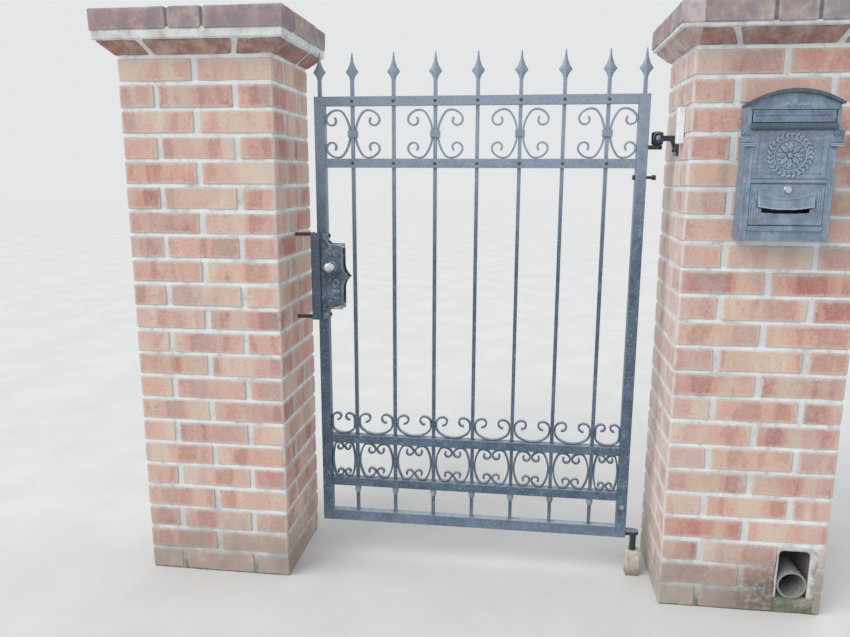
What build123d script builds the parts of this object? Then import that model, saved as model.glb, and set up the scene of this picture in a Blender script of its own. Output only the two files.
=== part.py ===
from build123d import *
import os
from math import atan2, degrees, radians, sin, sqrt, tan

# A wrought iron garden gate of one leaf, hung between two brick piers.
# Millimetres. X runs along the wall to the right, Y into the garden, Z up.
# The origin is on the hinge line, at the foot of the stone that carries it.

# Piers
pier_width = 510
pier_depth = 380
course_height = 80
shaft_courses = 22
splay_height = 46
splay_reach = 53
left_cap_bed = 32
right_cap_bed = 12
cap_height = 60
cap_reach = 57
passage_width = 1260

# Where the leaf hangs in the passage
hinge_to_pier = 60
stile_to_hinge = 29
latch_gap = 81
leaf_foot = 141

# Stiles, rails and bars of the leaf
stile_size = 34
stile_height = 1509
rail_size = 30
rail_depth = 30
bottom_rail_height = 38
foot_band_height = 98
dado_height = 135
frieze_height = 171
bar_size = 12
bar_count = 7
edge_cell = 94

# Spearheads
spear_neck_rise = 50
spear_height = 90
spear_width = 45
spear_thickness = 12

# Scrolls, bent from flat bar on edge
scroll_thickness = 6
scroll_depth = 14
scroll_gap = 0.3
frieze_reach = 82
frieze_curl = 19
frieze_head_gap = 10
dado_curl = 14
crest_height = 75
crest_curl = 15
crown_share = 0.53
shoulder_share = 0.62
entry_turn = 60
curl_turn = 120
tip_turn = 140
tip_tightening = 0.75
curl_share = 0.3
crest_floor_turn = 35
crest_corner_share = 0.55
crest_mouth_ratio = 1.6
crest_curl_turn = 190
collar_width = 32
collar_height = 22
collar_depth = 23

# Lock on the latch stile
lock_rise = 907
lock_case_width = 42
lock_case_height = 196
lock_plate_thickness = 3.5
lock_plate_inset = 14.5
lock_plate_width = 76
lock_plate_height = 230
lock_finial_height = 47
lock_finial_width = 30
lock_finial_tip = 5
lock_finial_bow = 62
finial_curl_radius = 11
finial_curl_inset = 13
finial_curl_rise = 24
finial_eye_radius = 4
lock_shoulder_drop = 18
lock_shoulder_bow = 120
lock_ear_reach = 22
lock_ear_height = 78
lock_ear_bow = 52
latch_tongue_reach = 8
latch_tongue_height = 30
latch_tongue_thickness = 12
knob_rise = 35
knob_inset = 16
knob_radius = 21
knob_depth = 32
knob_stem_radius = 8
knob_stem_length = 22
rose_radius = 15
rose_thickness = 5

# Keeper on the left pier
keeper_clearance = 16
keeper_thickness = 5
keeper_height = 304
keeper_lap = 9.5
keeper_front_gap = 5
keeper_bar_size = 12
keeper_bar_spacing = 290

# Hinge at the top and pivot at the foot
hinge_pin_radius = 8
pin_clearance = 0.05
hinge_eye_radius = 18.5
hinge_eye_drop = 158
hinge_eye_height = 41
hinge_eye_rounding = 7
hinge_ear_thickness = 13
hinge_ear_width = 32
hinge_washer_gap = 1
wall_plate_thickness = 8
wall_plate_depth = 54
wall_plate_height = 35
wall_plate_drop = 34
wall_plate_shift = -15
arm_thickness = 17
arm_drop = 34
stone_size = 44
stone_height = 92
stone_chamfer = 4
pivot_pin_radius = 11
pivot_socket_depth = 30
pivot_ear_rise = 11
pivot_ear_thickness = 12
pivot_ear_width = 36
stile_bolt_drop = 29
stile_bolt_radius = 5
bolt_head_radius = 9
bolt_head_thickness = 8
bolt_tail = 31
bolt_nut_thickness = 12

# Small plastic box on the inner face of the right pier
bell_box_projection = 20
bell_box_depth = 30
bell_box_height = 107
bell_box_setback = 85
bell_box_chamfer = 3

# Drain at the foot of the right pier
drain_inset = 49
drain_width = 93
drain_foot = 54
drain_height = 166
drain_recess = 130
drain_corner = 14
pipe_wall = 6
pipe_length = 110
seat_clearance = 0.3

# Post box on the front of the right pier
box_width = 240
box_depth = 95
box_height = 375
box_drop = 128
box_wall = 4
case_inset = 7
front_thickness = 6
hood_overhang = 6
roof_overhang = 3
roof_step = 3
hood_rise = 42
hood_thickness = 10
hood_lip = 12
slot_drop = 13
slot_height = 36
jamb_width = 8
sill_height = 19
sill_lip = 12
sill_nose_rise = 12
pilaster_width = 20
panel_setback = 2
panel_height = 136
waist_height = 10
waist_lip = 4
base_height = 43
base_moulding = 14
capital_width = 28
capital_height = 44
capital_lip = 10
capital_block_height = 8
capital_groove = 4
moving_gap = 5
flap_rod_radius = 2.5
flap_thickness = 3
door_rod_radius = 2.5
door_rod_rise = 9
swag_width = 6
swag_lip = 3
swag_half_span = 70
swag_drop = 20
swag_rise = 18
swag_to_slot = 18
door_slot_height = 18
door_recess = 2.5
lock_barrel_radius = 8
lock_barrel_length = 8
lock_barrel_drop = 12
medallion_radius = 56
medallion_thickness = 4
medallion_ring_width = 10
medallion_hub_radius = 9
petal_count = 8
petal_middle = 26
petal_length = 28
petal_width = 13

# Places worked out from the sizes above
shaft_height = shaft_courses * course_height
pier_front = -pier_depth / 2
right_pier_face = hinge_to_pier
left_pier_face = hinge_to_pier - passage_width
hinge_stile_outer = -stile_to_hinge
hinge_stile_inner = hinge_stile_outer - stile_size
latch_stile_outer = left_pier_face + latch_gap
latch_stile_inner = latch_stile_outer + stile_size
stile_top = leaf_foot + stile_height
top_rail_foot = stile_top - rail_size
frieze_rail_head = top_rail_foot - frieze_height
frieze_rail_foot = frieze_rail_head - rail_size
bottom_rail_head = leaf_foot + bottom_rail_height
lower_rail_foot = bottom_rail_head + foot_band_height
lower_rail_head = lower_rail_foot + rail_size
dado_rail_foot = lower_rail_head + dado_height
dado_rail_head = dado_rail_foot + rail_size
bar_pitch = (hinge_stile_inner - latch_stile_inner - 2 * edge_cell) / (bar_count - 1)
bar_places = [latch_stile_inner + edge_cell + i * bar_pitch for i in range(bar_count)]
lock_centre = leaf_foot + lock_rise
hinge_eye_foot = stile_top - hinge_eye_drop
pivot_ear_foot = leaf_foot + pivot_ear_rise
box_middle = right_pier_face + pier_width / 2
box_front = pier_front - box_depth
box_spring = shaft_height - box_drop - hood_rise
box_foot = box_spring - box_height
slot_head = box_spring - slot_drop
slot_foot = slot_head - slot_height
sill_foot = slot_foot - sill_height
waist_head = sill_foot - panel_height
waist_foot = waist_head - waist_height
base_head = box_foot + base_height

os.makedirs("parts", exist_ok=True)


def plan(x_low, x_high, y_low, y_high, level):
    """Rectangle in plan at a level, given by its two sides in X and in Y."""
    with BuildSketch(Plane.XY.offset(level)) as outline:
        with Locations(((x_low + x_high) / 2, (y_low + y_high) / 2)):
            Rectangle(x_high - x_low, y_high - y_low)
    return outline.sketch


def slab(x_low, x_high, y_low, y_high, z_low, z_high):
    """Straight block between two corners, added to the part block that calls it."""
    extrude(plan(x_low, x_high, y_low, y_high, z_low), amount=z_high - z_low)


def lay_arcs(start, heading, bends):
    """Arcs laid end to end, each tangent to the last, as radius and turn in degrees."""
    radius, turn = bends[0]
    arc = JernArc(start, heading, radius, turn)
    for radius, turn in bends[1:]:
        arc = JernArc(arc @ 1, arc % 1, radius, turn)
    return arc


def scroll_bends(half_height, reach, curl):
    """Bends of half a C from the middle of its back to its curled end.

    A flat arc and a tighter one climb to the crown, and then the bar curls in.
    The flat arc's turn and radius are solved so that the crown is at half_height.
    """
    crown = crown_share * reach
    shoulder = shoulder_share * crown
    back_turn = 2 * atan2(crown - shoulder, half_height - shoulder)
    back = shoulder + (half_height - shoulder) / sin(back_turn)
    entry = (reach - crown - curl) / sin(radians(entry_turn)) + curl
    return (
        (back, degrees(back_turn)),
        (shoulder, 90 - degrees(back_turn)),
        (entry, entry_turn),
        (curl, curl_turn),
        (tip_tightening * curl, tip_turn),
    )


def flat_bar(wire_maker):
    """Flat bar on edge that follows the arcs laid by wire_maker, in the leaf's plane."""
    with BuildPart() as scroll:
        with BuildSketch(Plane.XZ.offset(-scroll_depth / 2)):
            with BuildLine():
                wire_maker()
            trace(line_width=scroll_thickness)
        extrude(amount=scroll_depth)
    return scroll.part


def c_scroll(back_x, middle_z, half_height, reach, curl, side):
    """One C of flat bar, its back at back_x and its mouth towards side, 1 or -1."""
    bends = scroll_bends(half_height, reach, curl)

    def lay():
        for way in (1, -1):
            turns = [(radius, -way * side * turn) for radius, turn in bends]
            lay_arcs((back_x, middle_z), (0, way), turns)

    return flat_bar(lay)


def u_scroll(middle_x, foot_z, half_width, height, curl):
    """One U of flat bar standing on its back, with both ends curled inward.

    Its floor is a flat arc, and its corners are kept low enough to leave a short stem.
    """
    mouth = crest_mouth_ratio * curl
    climb = half_width * tan(radians(crest_floor_turn / 2))
    corner = min(crest_corner_share * half_width, height - mouth - climb)
    floor = (half_width - corner) / sin(radians(crest_floor_turn)) + corner

    def lay():
        for side in (1, -1):
            bends = (
                (floor, side * crest_floor_turn),
                (corner, side * (90 - crest_floor_turn)),
            )
            turned = lay_arcs((middle_x, foot_z), (side, 0), bends)
            stem_foot = turned @ 1
            stem_head = (stem_foot.X, foot_z + height - mouth)
            Line(stem_foot, stem_head)
            lay_arcs(stem_head, (0, 1), ((mouth, side * 90), (curl, side * crest_curl_turn)))

    return flat_bar(lay)


def spearhead(middle_x, neck_z):
    """Forged spearhead: lozenge sections joined by flat facets, up to a thin point.

    Each section is its share of the height, then its width and its thickness.
    """
    sections = (
        (0, bar_size, bar_size),
        (0.16, 0.5 * spear_width, 0.95 * spear_thickness),
        (0.31, spear_width, spear_thickness),
        (0.48, 0.55 * spear_width, 0.9 * spear_thickness),
        (0.7, 0.22 * spear_width, 0.7 * spear_thickness),
        (1, 0.07 * spear_width, 0.25 * spear_thickness),
    )
    with BuildPart() as head:
        for share, width, thickness in sections:
            with BuildSketch(Plane.XY.offset(neck_z + share * spear_height)):
                with Locations((middle_x, 0)):
                    Polygon(
                        (width / 2, 0),
                        (0, thickness / 2),
                        (-width / 2, 0),
                        (0, -thickness / 2),
                        align=None,
                    )
        loft(ruled=True)
    return head.part


# Brick piers with a splayed course and a cap course on each
left_pier_outer = left_pier_face - pier_width
right_pier_outer = right_pier_face + pier_width

with BuildPart() as left_pier:
    slab(left_pier_outer, left_pier_face, pier_front, -pier_front, 0, shaft_height)
left_pier.part.label = "left_pier"
export_step(left_pier.part, "parts/left_pier.step")

drain_low = right_pier_outer - drain_inset - drain_width
with BuildPart() as right_pier:
    slab(right_pier_face, right_pier_outer, pier_front, -pier_front, 0, shaft_height)
    with BuildSketch(Plane.XZ.offset(-pier_front)):
        with Locations((drain_low + drain_width / 2, drain_foot + drain_height / 2)):
            RectangleRounded(drain_width, drain_height, drain_corner)
    extrude(amount=-drain_recess, mode=Mode.SUBTRACT)
right_pier.part.label = "right_pier"
export_step(right_pier.part, "parts/right_pier.step")


splay_head = shaft_height + splay_height


def splay_course(middle_x, bed):
    """Course of plinth bricks turned over, widening from the shaft, and the bed of the cap on it."""
    with BuildPart() as course:
        with BuildSketch(Plane.XY.offset(shaft_height)):
            with Locations((middle_x, 0)):
                Rectangle(pier_width, pier_depth)
        with BuildSketch(Plane.XY.offset(splay_head)):
            with Locations((middle_x, 0)):
                Rectangle(pier_width + 2 * splay_reach, pier_depth + 2 * splay_reach)
        loft(ruled=True)
        slab(
            middle_x - pier_width / 2 - splay_reach,
            middle_x + pier_width / 2 + splay_reach,
            pier_front - splay_reach,
            -pier_front + splay_reach,
            splay_head,
            splay_head + bed,
        )
    return course.part


left_pier_middle = left_pier_face - pier_width / 2
pier_heads = (
    ("left", left_pier_middle, left_cap_bed),
    ("right", box_middle, right_cap_bed),
)
for side_name, middle_x, bed in pier_heads:
    splay = splay_course(middle_x, bed)
    cap_foot = splay_head + bed
    splay.label = side_name + "_splay_course"
    export_step(splay, "parts/" + side_name + "_splay_course.step")
    with BuildPart() as cap_course:
        slab(
            middle_x - pier_width / 2 - cap_reach,
            middle_x + pier_width / 2 + cap_reach,
            pier_front - cap_reach,
            -pier_front + cap_reach,
            cap_foot,
            cap_foot + cap_height,
        )
    cap_course.part.label = side_name + "_cap_course"
    export_step(cap_course.part, "parts/" + side_name + "_cap_course.step")

# Clay pipe lying in the drain hole
pipe_radius = drain_width / 2 - seat_clearance
with BuildPart() as drain_pipe:
    with BuildSketch(Plane.XZ.offset(-pier_front)):
        with Locations((drain_low + drain_width / 2, drain_foot + seat_clearance + pipe_radius)):
            Circle(pipe_radius)
            Circle(pipe_radius - pipe_wall, mode=Mode.SUBTRACT)
    extrude(amount=-pipe_length)
drain_pipe.part.label = "drain_pipe"
export_step(drain_pipe.part, "parts/drain_pipe.step")

# Stiles of square tube
for stile_name, stile_x in (("hinge_stile", hinge_stile_inner), ("latch_stile", latch_stile_outer)):
    with BuildPart() as stile:
        slab(stile_x, stile_x + stile_size, -stile_size / 2, stile_size / 2, leaf_foot, stile_top)
    stile.part.label = stile_name
    export_step(stile.part, "parts/" + stile_name + ".step")

# Rails, pierced by the bars that pass through them
rails = (
    ("top_rail", top_rail_foot, rail_size),
    ("frieze_rail", frieze_rail_foot, rail_size),
    ("dado_rail", dado_rail_foot, rail_size),
    ("lower_rail", lower_rail_foot, rail_size),
)
for rail_name, foot, height in rails:
    with BuildPart() as rail:
        slab(latch_stile_inner, hinge_stile_inner, -rail_depth / 2, rail_depth / 2, foot, foot + height)
        with BuildSketch(Plane.XY.offset(foot)):
            with Locations(*[(x, 0) for x in bar_places]):
                Rectangle(bar_size, bar_size)
        extrude(amount=height, mode=Mode.SUBTRACT)
    rail.part.label = rail_name
    export_step(rail.part, "parts/" + rail_name + ".step")

with BuildPart() as bottom_rail:
    slab(
        latch_stile_inner,
        hinge_stile_inner,
        -rail_depth / 2,
        rail_depth / 2,
        leaf_foot,
        bottom_rail_head,
    )
bottom_rail.part.label = "bottom_rail"
export_step(bottom_rail.part, "parts/bottom_rail.step")

# Upright bars, each drawn out to a spearhead above the top rail
neck_z = stile_top + spear_neck_rise
bar_spears = [spearhead(x, neck_z) for x in bar_places]
with BuildPart() as spear_bars:
    with BuildSketch(Plane.XY.offset(bottom_rail_head)):
        with Locations(*[(x, 0) for x in bar_places]):
            Rectangle(bar_size, bar_size)
    extrude(amount=neck_z - bottom_rail_head)
    add(bar_spears)
spear_bars.part.label = "spear_bars"
export_step(spear_bars.part, "parts/spear_bars.step")

stile_middles = (
    latch_stile_outer + stile_size / 2,
    hinge_stile_inner + stile_size / 2,
)
stile_spear_heads = [spearhead(x, neck_z) for x in stile_middles]
with BuildPart() as stile_spears:
    with BuildSketch(Plane.XY.offset(stile_top)):
        with Locations(*[(x, 0) for x in stile_middles]):
            Rectangle(bar_size, bar_size)
    extrude(amount=spear_neck_rise)
    add(stile_spear_heads)
stile_spears.part.label = "stile_spears"
export_step(stile_spears.part, "parts/stile_spears.step")

# Pairs of C scrolls in the frieze, back to back on every other bar
back_offset = bar_size / 2 + scroll_gap + scroll_thickness / 2
frieze_scroll_head = top_rail_foot - frieze_head_gap
frieze_half = (frieze_scroll_head - frieze_rail_head) / 2 - scroll_gap - scroll_thickness / 2
frieze_middle = (frieze_scroll_head + frieze_rail_head) / 2
frieze_span = min(frieze_reach, edge_cell - back_offset - scroll_thickness / 2 - scroll_gap)
scrolled_bars = bar_places[::2]
frieze_cs = []
for x in scrolled_bars:
    for side in (1, -1):
        frieze_cs.append(
            c_scroll(x + side * back_offset, frieze_middle, frieze_half, frieze_span, frieze_curl, side)
        )
with BuildPart() as frieze_scrolls:
    add(frieze_cs)
frieze_scrolls.part.label = "frieze_scrolls"
export_step(frieze_scrolls.part, "parts/frieze_scrolls.step")

# Collars that bind each pair of scrolls to its bar
back_radius = scroll_bends(frieze_half, frieze_span, frieze_curl)[0][0]
back_bulge = back_radius - sqrt(back_radius**2 - collar_height**2 / 4)
wrapped = back_offset + scroll_thickness / 2 + back_bulge + scroll_gap
with BuildPart() as frieze_collars:
    with BuildSketch(Plane.XY.offset(frieze_middle - collar_height / 2)):
        with Locations(*[(x, 0) for x in scrolled_bars]):
            Rectangle(collar_width, collar_depth)
            Rectangle(2 * wrapped, scroll_depth + 2 * scroll_gap, mode=Mode.SUBTRACT)
    extrude(amount=collar_height)
frieze_collars.part.label = "frieze_collars"
export_step(frieze_collars.part, "parts/frieze_collars.step")

# C scrolls face to face in the band between the dado rail and the lower rail
dado_half = (dado_rail_foot - lower_rail_head) / 2 - scroll_gap - scroll_thickness / 2
dado_middle = (dado_rail_foot + lower_rail_head) / 2
uprights = [latch_stile_inner - bar_size / 2, *bar_places, hinge_stile_inner + bar_size / 2]
dado_cs = []
for left_bar, right_bar in zip(uprights, uprights[1:]):
    cell = right_bar - left_bar
    span = cell / 2 - back_offset - scroll_thickness / 2 - scroll_gap
    curl = min(dado_curl, curl_share * span)
    dado_cs.append(c_scroll(left_bar + back_offset, dado_middle, dado_half, span, curl, 1))
    dado_cs.append(c_scroll(right_bar - back_offset, dado_middle, dado_half, span, curl, -1))
with BuildPart() as dado_scrolls:
    add(dado_cs)
dado_scrolls.part.label = "dado_scrolls"
export_step(dado_scrolls.part, "parts/dado_scrolls.step")

# U scrolls standing on the dado rail, one between each two uprights
crest_us = []
for left_bar, right_bar in zip(uprights, uprights[1:]):
    half = (right_bar - left_bar) / 2 - back_offset
    curl = min(crest_curl, curl_share * half)
    foot = dado_rail_head + scroll_gap + scroll_thickness / 2
    crest_us.append(u_scroll((left_bar + right_bar) / 2, foot, half, crest_height, curl))
with BuildPart() as cresting_scrolls:
    add(crest_us)
cresting_scrolls.part.label = "cresting_scrolls"
export_step(cresting_scrolls.part, "parts/cresting_scrolls.step")

# Lock case beside the latch stile, with its tongue drawn back
with BuildPart() as lock_case:
    slab(
        latch_stile_inner,
        latch_stile_inner + lock_case_width,
        -stile_size / 2,
        stile_size / 2,
        lock_centre - lock_case_height / 2,
        lock_centre + lock_case_height / 2,
    )
lock_case.part.label = "lock_case"
export_step(lock_case.part, "parts/lock_case.step")

with BuildPart() as latch_tongue:
    slab(
        latch_stile_outer - latch_tongue_reach,
        latch_stile_outer,
        -latch_tongue_thickness / 2,
        latch_tongue_thickness / 2,
        lock_centre - latch_tongue_height / 2,
        lock_centre + latch_tongue_height / 2,
    )
latch_tongue.part.label = "latch_tongue"
export_step(latch_tongue.part, "parts/latch_tongue.step")

# Ornamental lock plates, one on each side of the leaf
plate_left = latch_stile_outer + lock_plate_inset
plate_right = plate_left + lock_plate_width
half_plate = lock_plate_height / 2
with BuildPart() as lock_plates:
    with BuildSketch(Plane.XZ.offset(stile_size / 2)):
        with BuildLine():
            for side in (1, -1):
                shoulder_z = lock_centre + side * half_plate
                finial = (plate_left + lock_finial_tip, shoulder_z + side * lock_finial_height)
                shoulder = (plate_left + lock_finial_width, shoulder_z)
                corner = (plate_right, shoulder_z - side * lock_shoulder_drop)
                ear_start = (plate_right, lock_centre + side * lock_ear_height / 2)
                ear_tip = (plate_right + lock_ear_reach, lock_centre)
                Polyline((plate_left, lock_centre), (plate_left, shoulder_z), finial)
                RadiusArc(finial, shoulder, -side * lock_finial_bow)
                RadiusArc(shoulder, corner, -side * lock_shoulder_bow)
                Line(corner, ear_start)
                RadiusArc(ear_start, ear_tip, -side * lock_ear_bow)
        make_face()
        curl_x = plate_left + finial_curl_inset
        curl_rise = half_plate + finial_curl_rise
        with Locations((curl_x, lock_centre + curl_rise), (curl_x, lock_centre - curl_rise)):
            Circle(finial_curl_radius)
            Circle(finial_eye_radius, mode=Mode.SUBTRACT)
    extrude(amount=lock_plate_thickness)
    mirror(about=Plane.XZ)
lock_plates.part.label = "lock_plates"
export_step(lock_plates.part, "parts/lock_plates.step")

# Round knobs on both sides
knob_z = lock_centre + knob_rise
knob_x = latch_stile_inner + knob_inset
plate_face = stile_size / 2 + lock_plate_thickness
stem_end = plate_face + knob_stem_length
crown_end = stem_end + knob_depth
with BuildPart() as latch_knobs:
    with BuildSketch(Plane.XY.offset(knob_z)):
        with BuildLine():
            Polyline(
                (knob_x, crown_end),
                (knob_x, plate_face),
                (knob_x + rose_radius, plate_face),
                (knob_x + rose_radius, plate_face + rose_thickness),
                (knob_x + knob_stem_radius, plate_face + rose_thickness),
                (knob_x + knob_stem_radius, stem_end),
            )
            Spline(
                (knob_x + knob_stem_radius, stem_end),
                (knob_x + knob_radius, stem_end + knob_depth / 2),
                (knob_x, crown_end),
                tangents=((1, 0.3), (-1, 0)),
            )
        make_face()
    revolve(axis=Axis((knob_x, 0, knob_z), (0, 1, 0)))
    mirror(about=Plane.XZ)
latch_knobs.part.label = "latch_knobs"
export_step(latch_knobs.part, "parts/latch_knobs.step")

# Keeper: two bars from the left pier and an angle that the leaf shuts against
keeper_face = latch_stile_outer - keeper_clearance
keeper_back = keeper_face - keeper_thickness
with BuildPart() as keeper_bars:
    for side in (1, -1):
        bar_z = lock_centre + side * keeper_bar_spacing / 2
        slab(
            left_pier_face,
            keeper_back,
            -keeper_bar_size / 2,
            keeper_bar_size / 2,
            bar_z - keeper_bar_size / 2,
            bar_z + keeper_bar_size / 2,
        )
keeper_bars.part.label = "keeper_bars"
export_step(keeper_bars.part, "parts/keeper_bars.step")

stop_back = -stile_size / 2 - keeper_front_gap
stop_front = stop_back - keeper_thickness
keeper_foot = lock_centre - keeper_height / 2
keeper_head = lock_centre + keeper_height / 2
with BuildPart() as keeper_angle:
    slab(keeper_back, keeper_face, stop_front, stile_size / 2, keeper_foot, keeper_head)
    slab(keeper_back, latch_stile_outer + keeper_lap, stop_front, stop_back, keeper_foot, keeper_head)
keeper_angle.part.label = "keeper_angle"
export_step(keeper_angle.part, "parts/keeper_angle.step")

# Wall bracket of the top hinge: plate, cranked arm and eye
plate_front = right_pier_face - wall_plate_thickness
plate_foot = hinge_eye_foot - wall_plate_drop
eye_middle = hinge_eye_foot + hinge_eye_height / 2
arm_top = eye_middle + arm_thickness / 2
arm_foot = eye_middle - arm_thickness / 2
with BuildPart() as hinge_eye:
    with BuildSketch(Plane.XY.offset(hinge_eye_foot)):
        Circle(hinge_eye_radius)
    extrude(amount=hinge_eye_height)
    fillet(hinge_eye.edges().filter_by(GeomType.CIRCLE), hinge_eye_rounding)
with BuildPart() as hinge_bracket:
    slab(
        plate_front,
        right_pier_face,
        wall_plate_shift - wall_plate_depth / 2,
        wall_plate_shift + wall_plate_depth / 2,
        plate_foot,
        plate_foot + wall_plate_height,
    )
    with BuildSketch(Plane.XZ):
        with BuildLine():
            elbow = arm_thickness
            Polyline(
                (right_pier_face, arm_top - elbow),
                (right_pier_face, arm_foot - arm_drop),
                (plate_front, arm_foot - arm_drop),
                (plate_front - arm_thickness / 2, arm_foot - elbow / 2),
            )
            RadiusArc(
                (plate_front - arm_thickness / 2, arm_foot - elbow / 2),
                (plate_front - arm_thickness, arm_foot),
                -elbow / 2,
            )
            Polyline(
                (plate_front - arm_thickness, arm_foot),
                (0, arm_foot),
                (0, arm_top),
                (right_pier_face - elbow, arm_top),
            )
            RadiusArc((right_pier_face - elbow, arm_top), (right_pier_face, arm_top - elbow), elbow)
        make_face()
    extrude(amount=arm_thickness / 2, both=True)
    add(hinge_eye.part)
    with BuildSketch(Plane.XY.offset(hinge_eye_foot)):
        Circle(hinge_pin_radius + pin_clearance)
    extrude(amount=hinge_eye_height, mode=Mode.SUBTRACT)
hinge_bracket.part.label = "hinge_bracket"
export_step(hinge_bracket.part, "parts/hinge_bracket.step")


def ear(width, foot, thickness):
    """Tongue from the hinge stile out to the hinge line, with a round end."""
    with BuildSketch(Plane.XY.offset(foot)) as outline:
        Circle(width / 2)
        with Locations((hinge_stile_outer / 2, 0)):
            Rectangle(-hinge_stile_outer, width)
    return extrude(outline.sketch, amount=thickness, mode=Mode.PRIVATE)


# Ear and pin of the top hinge, on the leaf
ear_foot = hinge_eye_foot - hinge_washer_gap - hinge_ear_thickness
hinge_ear_plate = ear(hinge_ear_width, ear_foot, hinge_ear_thickness)
with BuildPart() as hinge_ear:
    add(hinge_ear_plate)
    with BuildSketch(Plane.XY.offset(ear_foot)):
        Circle(hinge_pin_radius)
    extrude(amount=hinge_eye_foot + hinge_eye_height + hinge_washer_gap - ear_foot)
hinge_ear.part.label = "hinge_ear"
export_step(hinge_ear.part, "parts/hinge_ear.step")

# Ear and pin of the foot pivot, and the stone that the pin turns in
socket_foot = stone_height - pivot_socket_depth
pivot_ear_plate = ear(pivot_ear_width, pivot_ear_foot, pivot_ear_thickness)
with BuildPart() as pivot_ear:
    add(pivot_ear_plate)
    with BuildSketch(Plane.XY.offset(socket_foot + seat_clearance)):
        Circle(pivot_pin_radius)
    extrude(amount=pivot_ear_foot - socket_foot - seat_clearance)
pivot_ear.part.label = "pivot_ear"
export_step(pivot_ear.part, "parts/pivot_ear.step")

with BuildPart() as pivot_stone:
    with BuildSketch():
        Rectangle(stone_size, stone_size)
    extrude(amount=stone_height)
    chamfer(pivot_stone.faces().sort_by(Axis.Z)[-1].edges(), stone_chamfer)
    with BuildSketch(Plane.XY.offset(socket_foot)):
        Circle(pivot_pin_radius + pin_clearance)
    extrude(amount=pivot_socket_depth, mode=Mode.SUBTRACT)
pivot_stone.part.label = "pivot_stone"
export_step(pivot_stone.part, "parts/pivot_stone.step")

# Bolt through the hinge stile: its head shows inside the leaf, its nut outside at the end of its tail
stile_bolt_z = frieze_rail_foot - stile_bolt_drop
with BuildPart() as stile_bolt:
    with BuildSketch(Plane.YZ.offset(hinge_stile_inner - bolt_head_thickness)):
        with Locations((0, stile_bolt_z)):
            RegularPolygon(bolt_head_radius, 6)
    extrude(amount=bolt_head_thickness)
    with BuildSketch(Plane.YZ.offset(hinge_stile_outer)):
        with Locations((0, stile_bolt_z)):
            Circle(stile_bolt_radius)
    extrude(amount=bolt_tail)
    with BuildSketch(Plane.YZ.offset(hinge_stile_outer + bolt_tail - bolt_nut_thickness)):
        with Locations((0, stile_bolt_z)):
            RegularPolygon(bolt_head_radius, 6)
    extrude(amount=bolt_nut_thickness)
stile_bolt.part.label = "stile_bolt"
export_step(stile_bolt.part, "parts/stile_bolt.step")

# Plastic box on the inner face of the right pier
bell_box_foot = plate_foot + wall_plate_height
with BuildPart() as bell_box:
    slab(
        right_pier_face - bell_box_projection,
        right_pier_face,
        pier_front + bell_box_setback,
        pier_front + bell_box_setback + bell_box_depth,
        bell_box_foot,
        bell_box_foot + bell_box_height,
    )
    chamfer(bell_box.faces().sort_by(Axis.X)[0].edges(), bell_box_chamfer)
bell_box.part.label = "bell_box"
export_step(bell_box.part, "parts/bell_box.step")

# Post box: a cast case against the pier, shut by a front of several castings
box_left = box_middle - box_width / 2
box_right = box_middle + box_width / 2
case_left = box_left + case_inset
case_right = box_right - case_inset
front_back = box_front + front_thickness
back_front = pier_front - box_wall
arch_rise = hood_rise - hood_thickness


def arched_panel(left, right, back_y, foot):
    """Face between two sides, from a foot up to the arch under the hood."""
    crown = (box_middle, box_spring + arch_rise - seat_clearance)
    with BuildSketch(Plane.XZ.offset(-back_y)) as outline:
        with BuildLine():
            Polyline((left, box_spring), (left, foot), (right, foot), (right, box_spring))
            ThreePointArc((right, box_spring), crown, (left, box_spring))
        make_face()
    return outline.sketch


with BuildPart() as postbox_back:
    extrude(arched_panel(case_left, case_right, pier_front, box_foot), amount=box_wall)
postbox_back.part.label = "postbox_back"
export_step(postbox_back.part, "parts/postbox_back.step")

with BuildPart() as postbox_sides:
    for low in (case_left, case_right - box_wall):
        slab(low, low + box_wall, front_back, back_front, box_foot + box_wall, box_spring)
postbox_sides.part.label = "postbox_sides"
export_step(postbox_sides.part, "parts/postbox_sides.step")

with BuildPart() as postbox_floor:
    slab(case_left, case_right, front_back, back_front, box_foot, box_foot + box_wall)
postbox_floor.part.label = "postbox_floor"
export_step(postbox_floor.part, "parts/postbox_floor.step")

eaves = box_spring + hood_thickness / 2


def arched_roof(left, right, overhang, rise, back_y):
    """Face of a roof over two sides that it oversails, rising to its crown above the arch."""
    low, high = left - overhang, right + overhang
    with BuildSketch(Plane.XZ.offset(-back_y)) as outline:
        with BuildLine():
            ThreePointArc((low, eaves), (box_middle, box_spring + rise), (high, eaves))
            Polyline((high, eaves), (high, box_spring), (right, box_spring))
            ThreePointArc((right, box_spring), (box_middle, box_spring + arch_rise), (left, box_spring))
            Polyline((left, box_spring), (low, box_spring), (low, eaves))
        make_face()
    return outline.sketch


# The case's own roof, and the deeper band of the front casting that stands proud of it
with BuildPart() as postbox_hood:
    case_roof = arched_roof(case_left, case_right, roof_overhang, hood_rise - roof_step, pier_front)
    extrude(case_roof, amount=box_depth - front_thickness)
    front_band = arched_roof(box_left, box_right, hood_overhang, hood_rise, front_back)
    extrude(front_band, amount=front_thickness + hood_lip)
postbox_hood.part.label = "postbox_hood"
export_step(postbox_hood.part, "parts/postbox_hood.step")

with BuildPart() as postbox_tympanum:
    extrude(arched_panel(box_left, box_right, front_back, slot_head), amount=front_thickness)
postbox_tympanum.part.label = "postbox_tympanum"
export_step(postbox_tympanum.part, "parts/postbox_tympanum.step")

with BuildPart() as postbox_jambs:
    for low in (box_left, box_right - jamb_width):
        slab(low, low + jamb_width, box_front, front_back, sill_foot, slot_head)
postbox_jambs.part.label = "postbox_jambs"
export_step(postbox_jambs.part, "parts/postbox_jambs.step")

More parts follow.
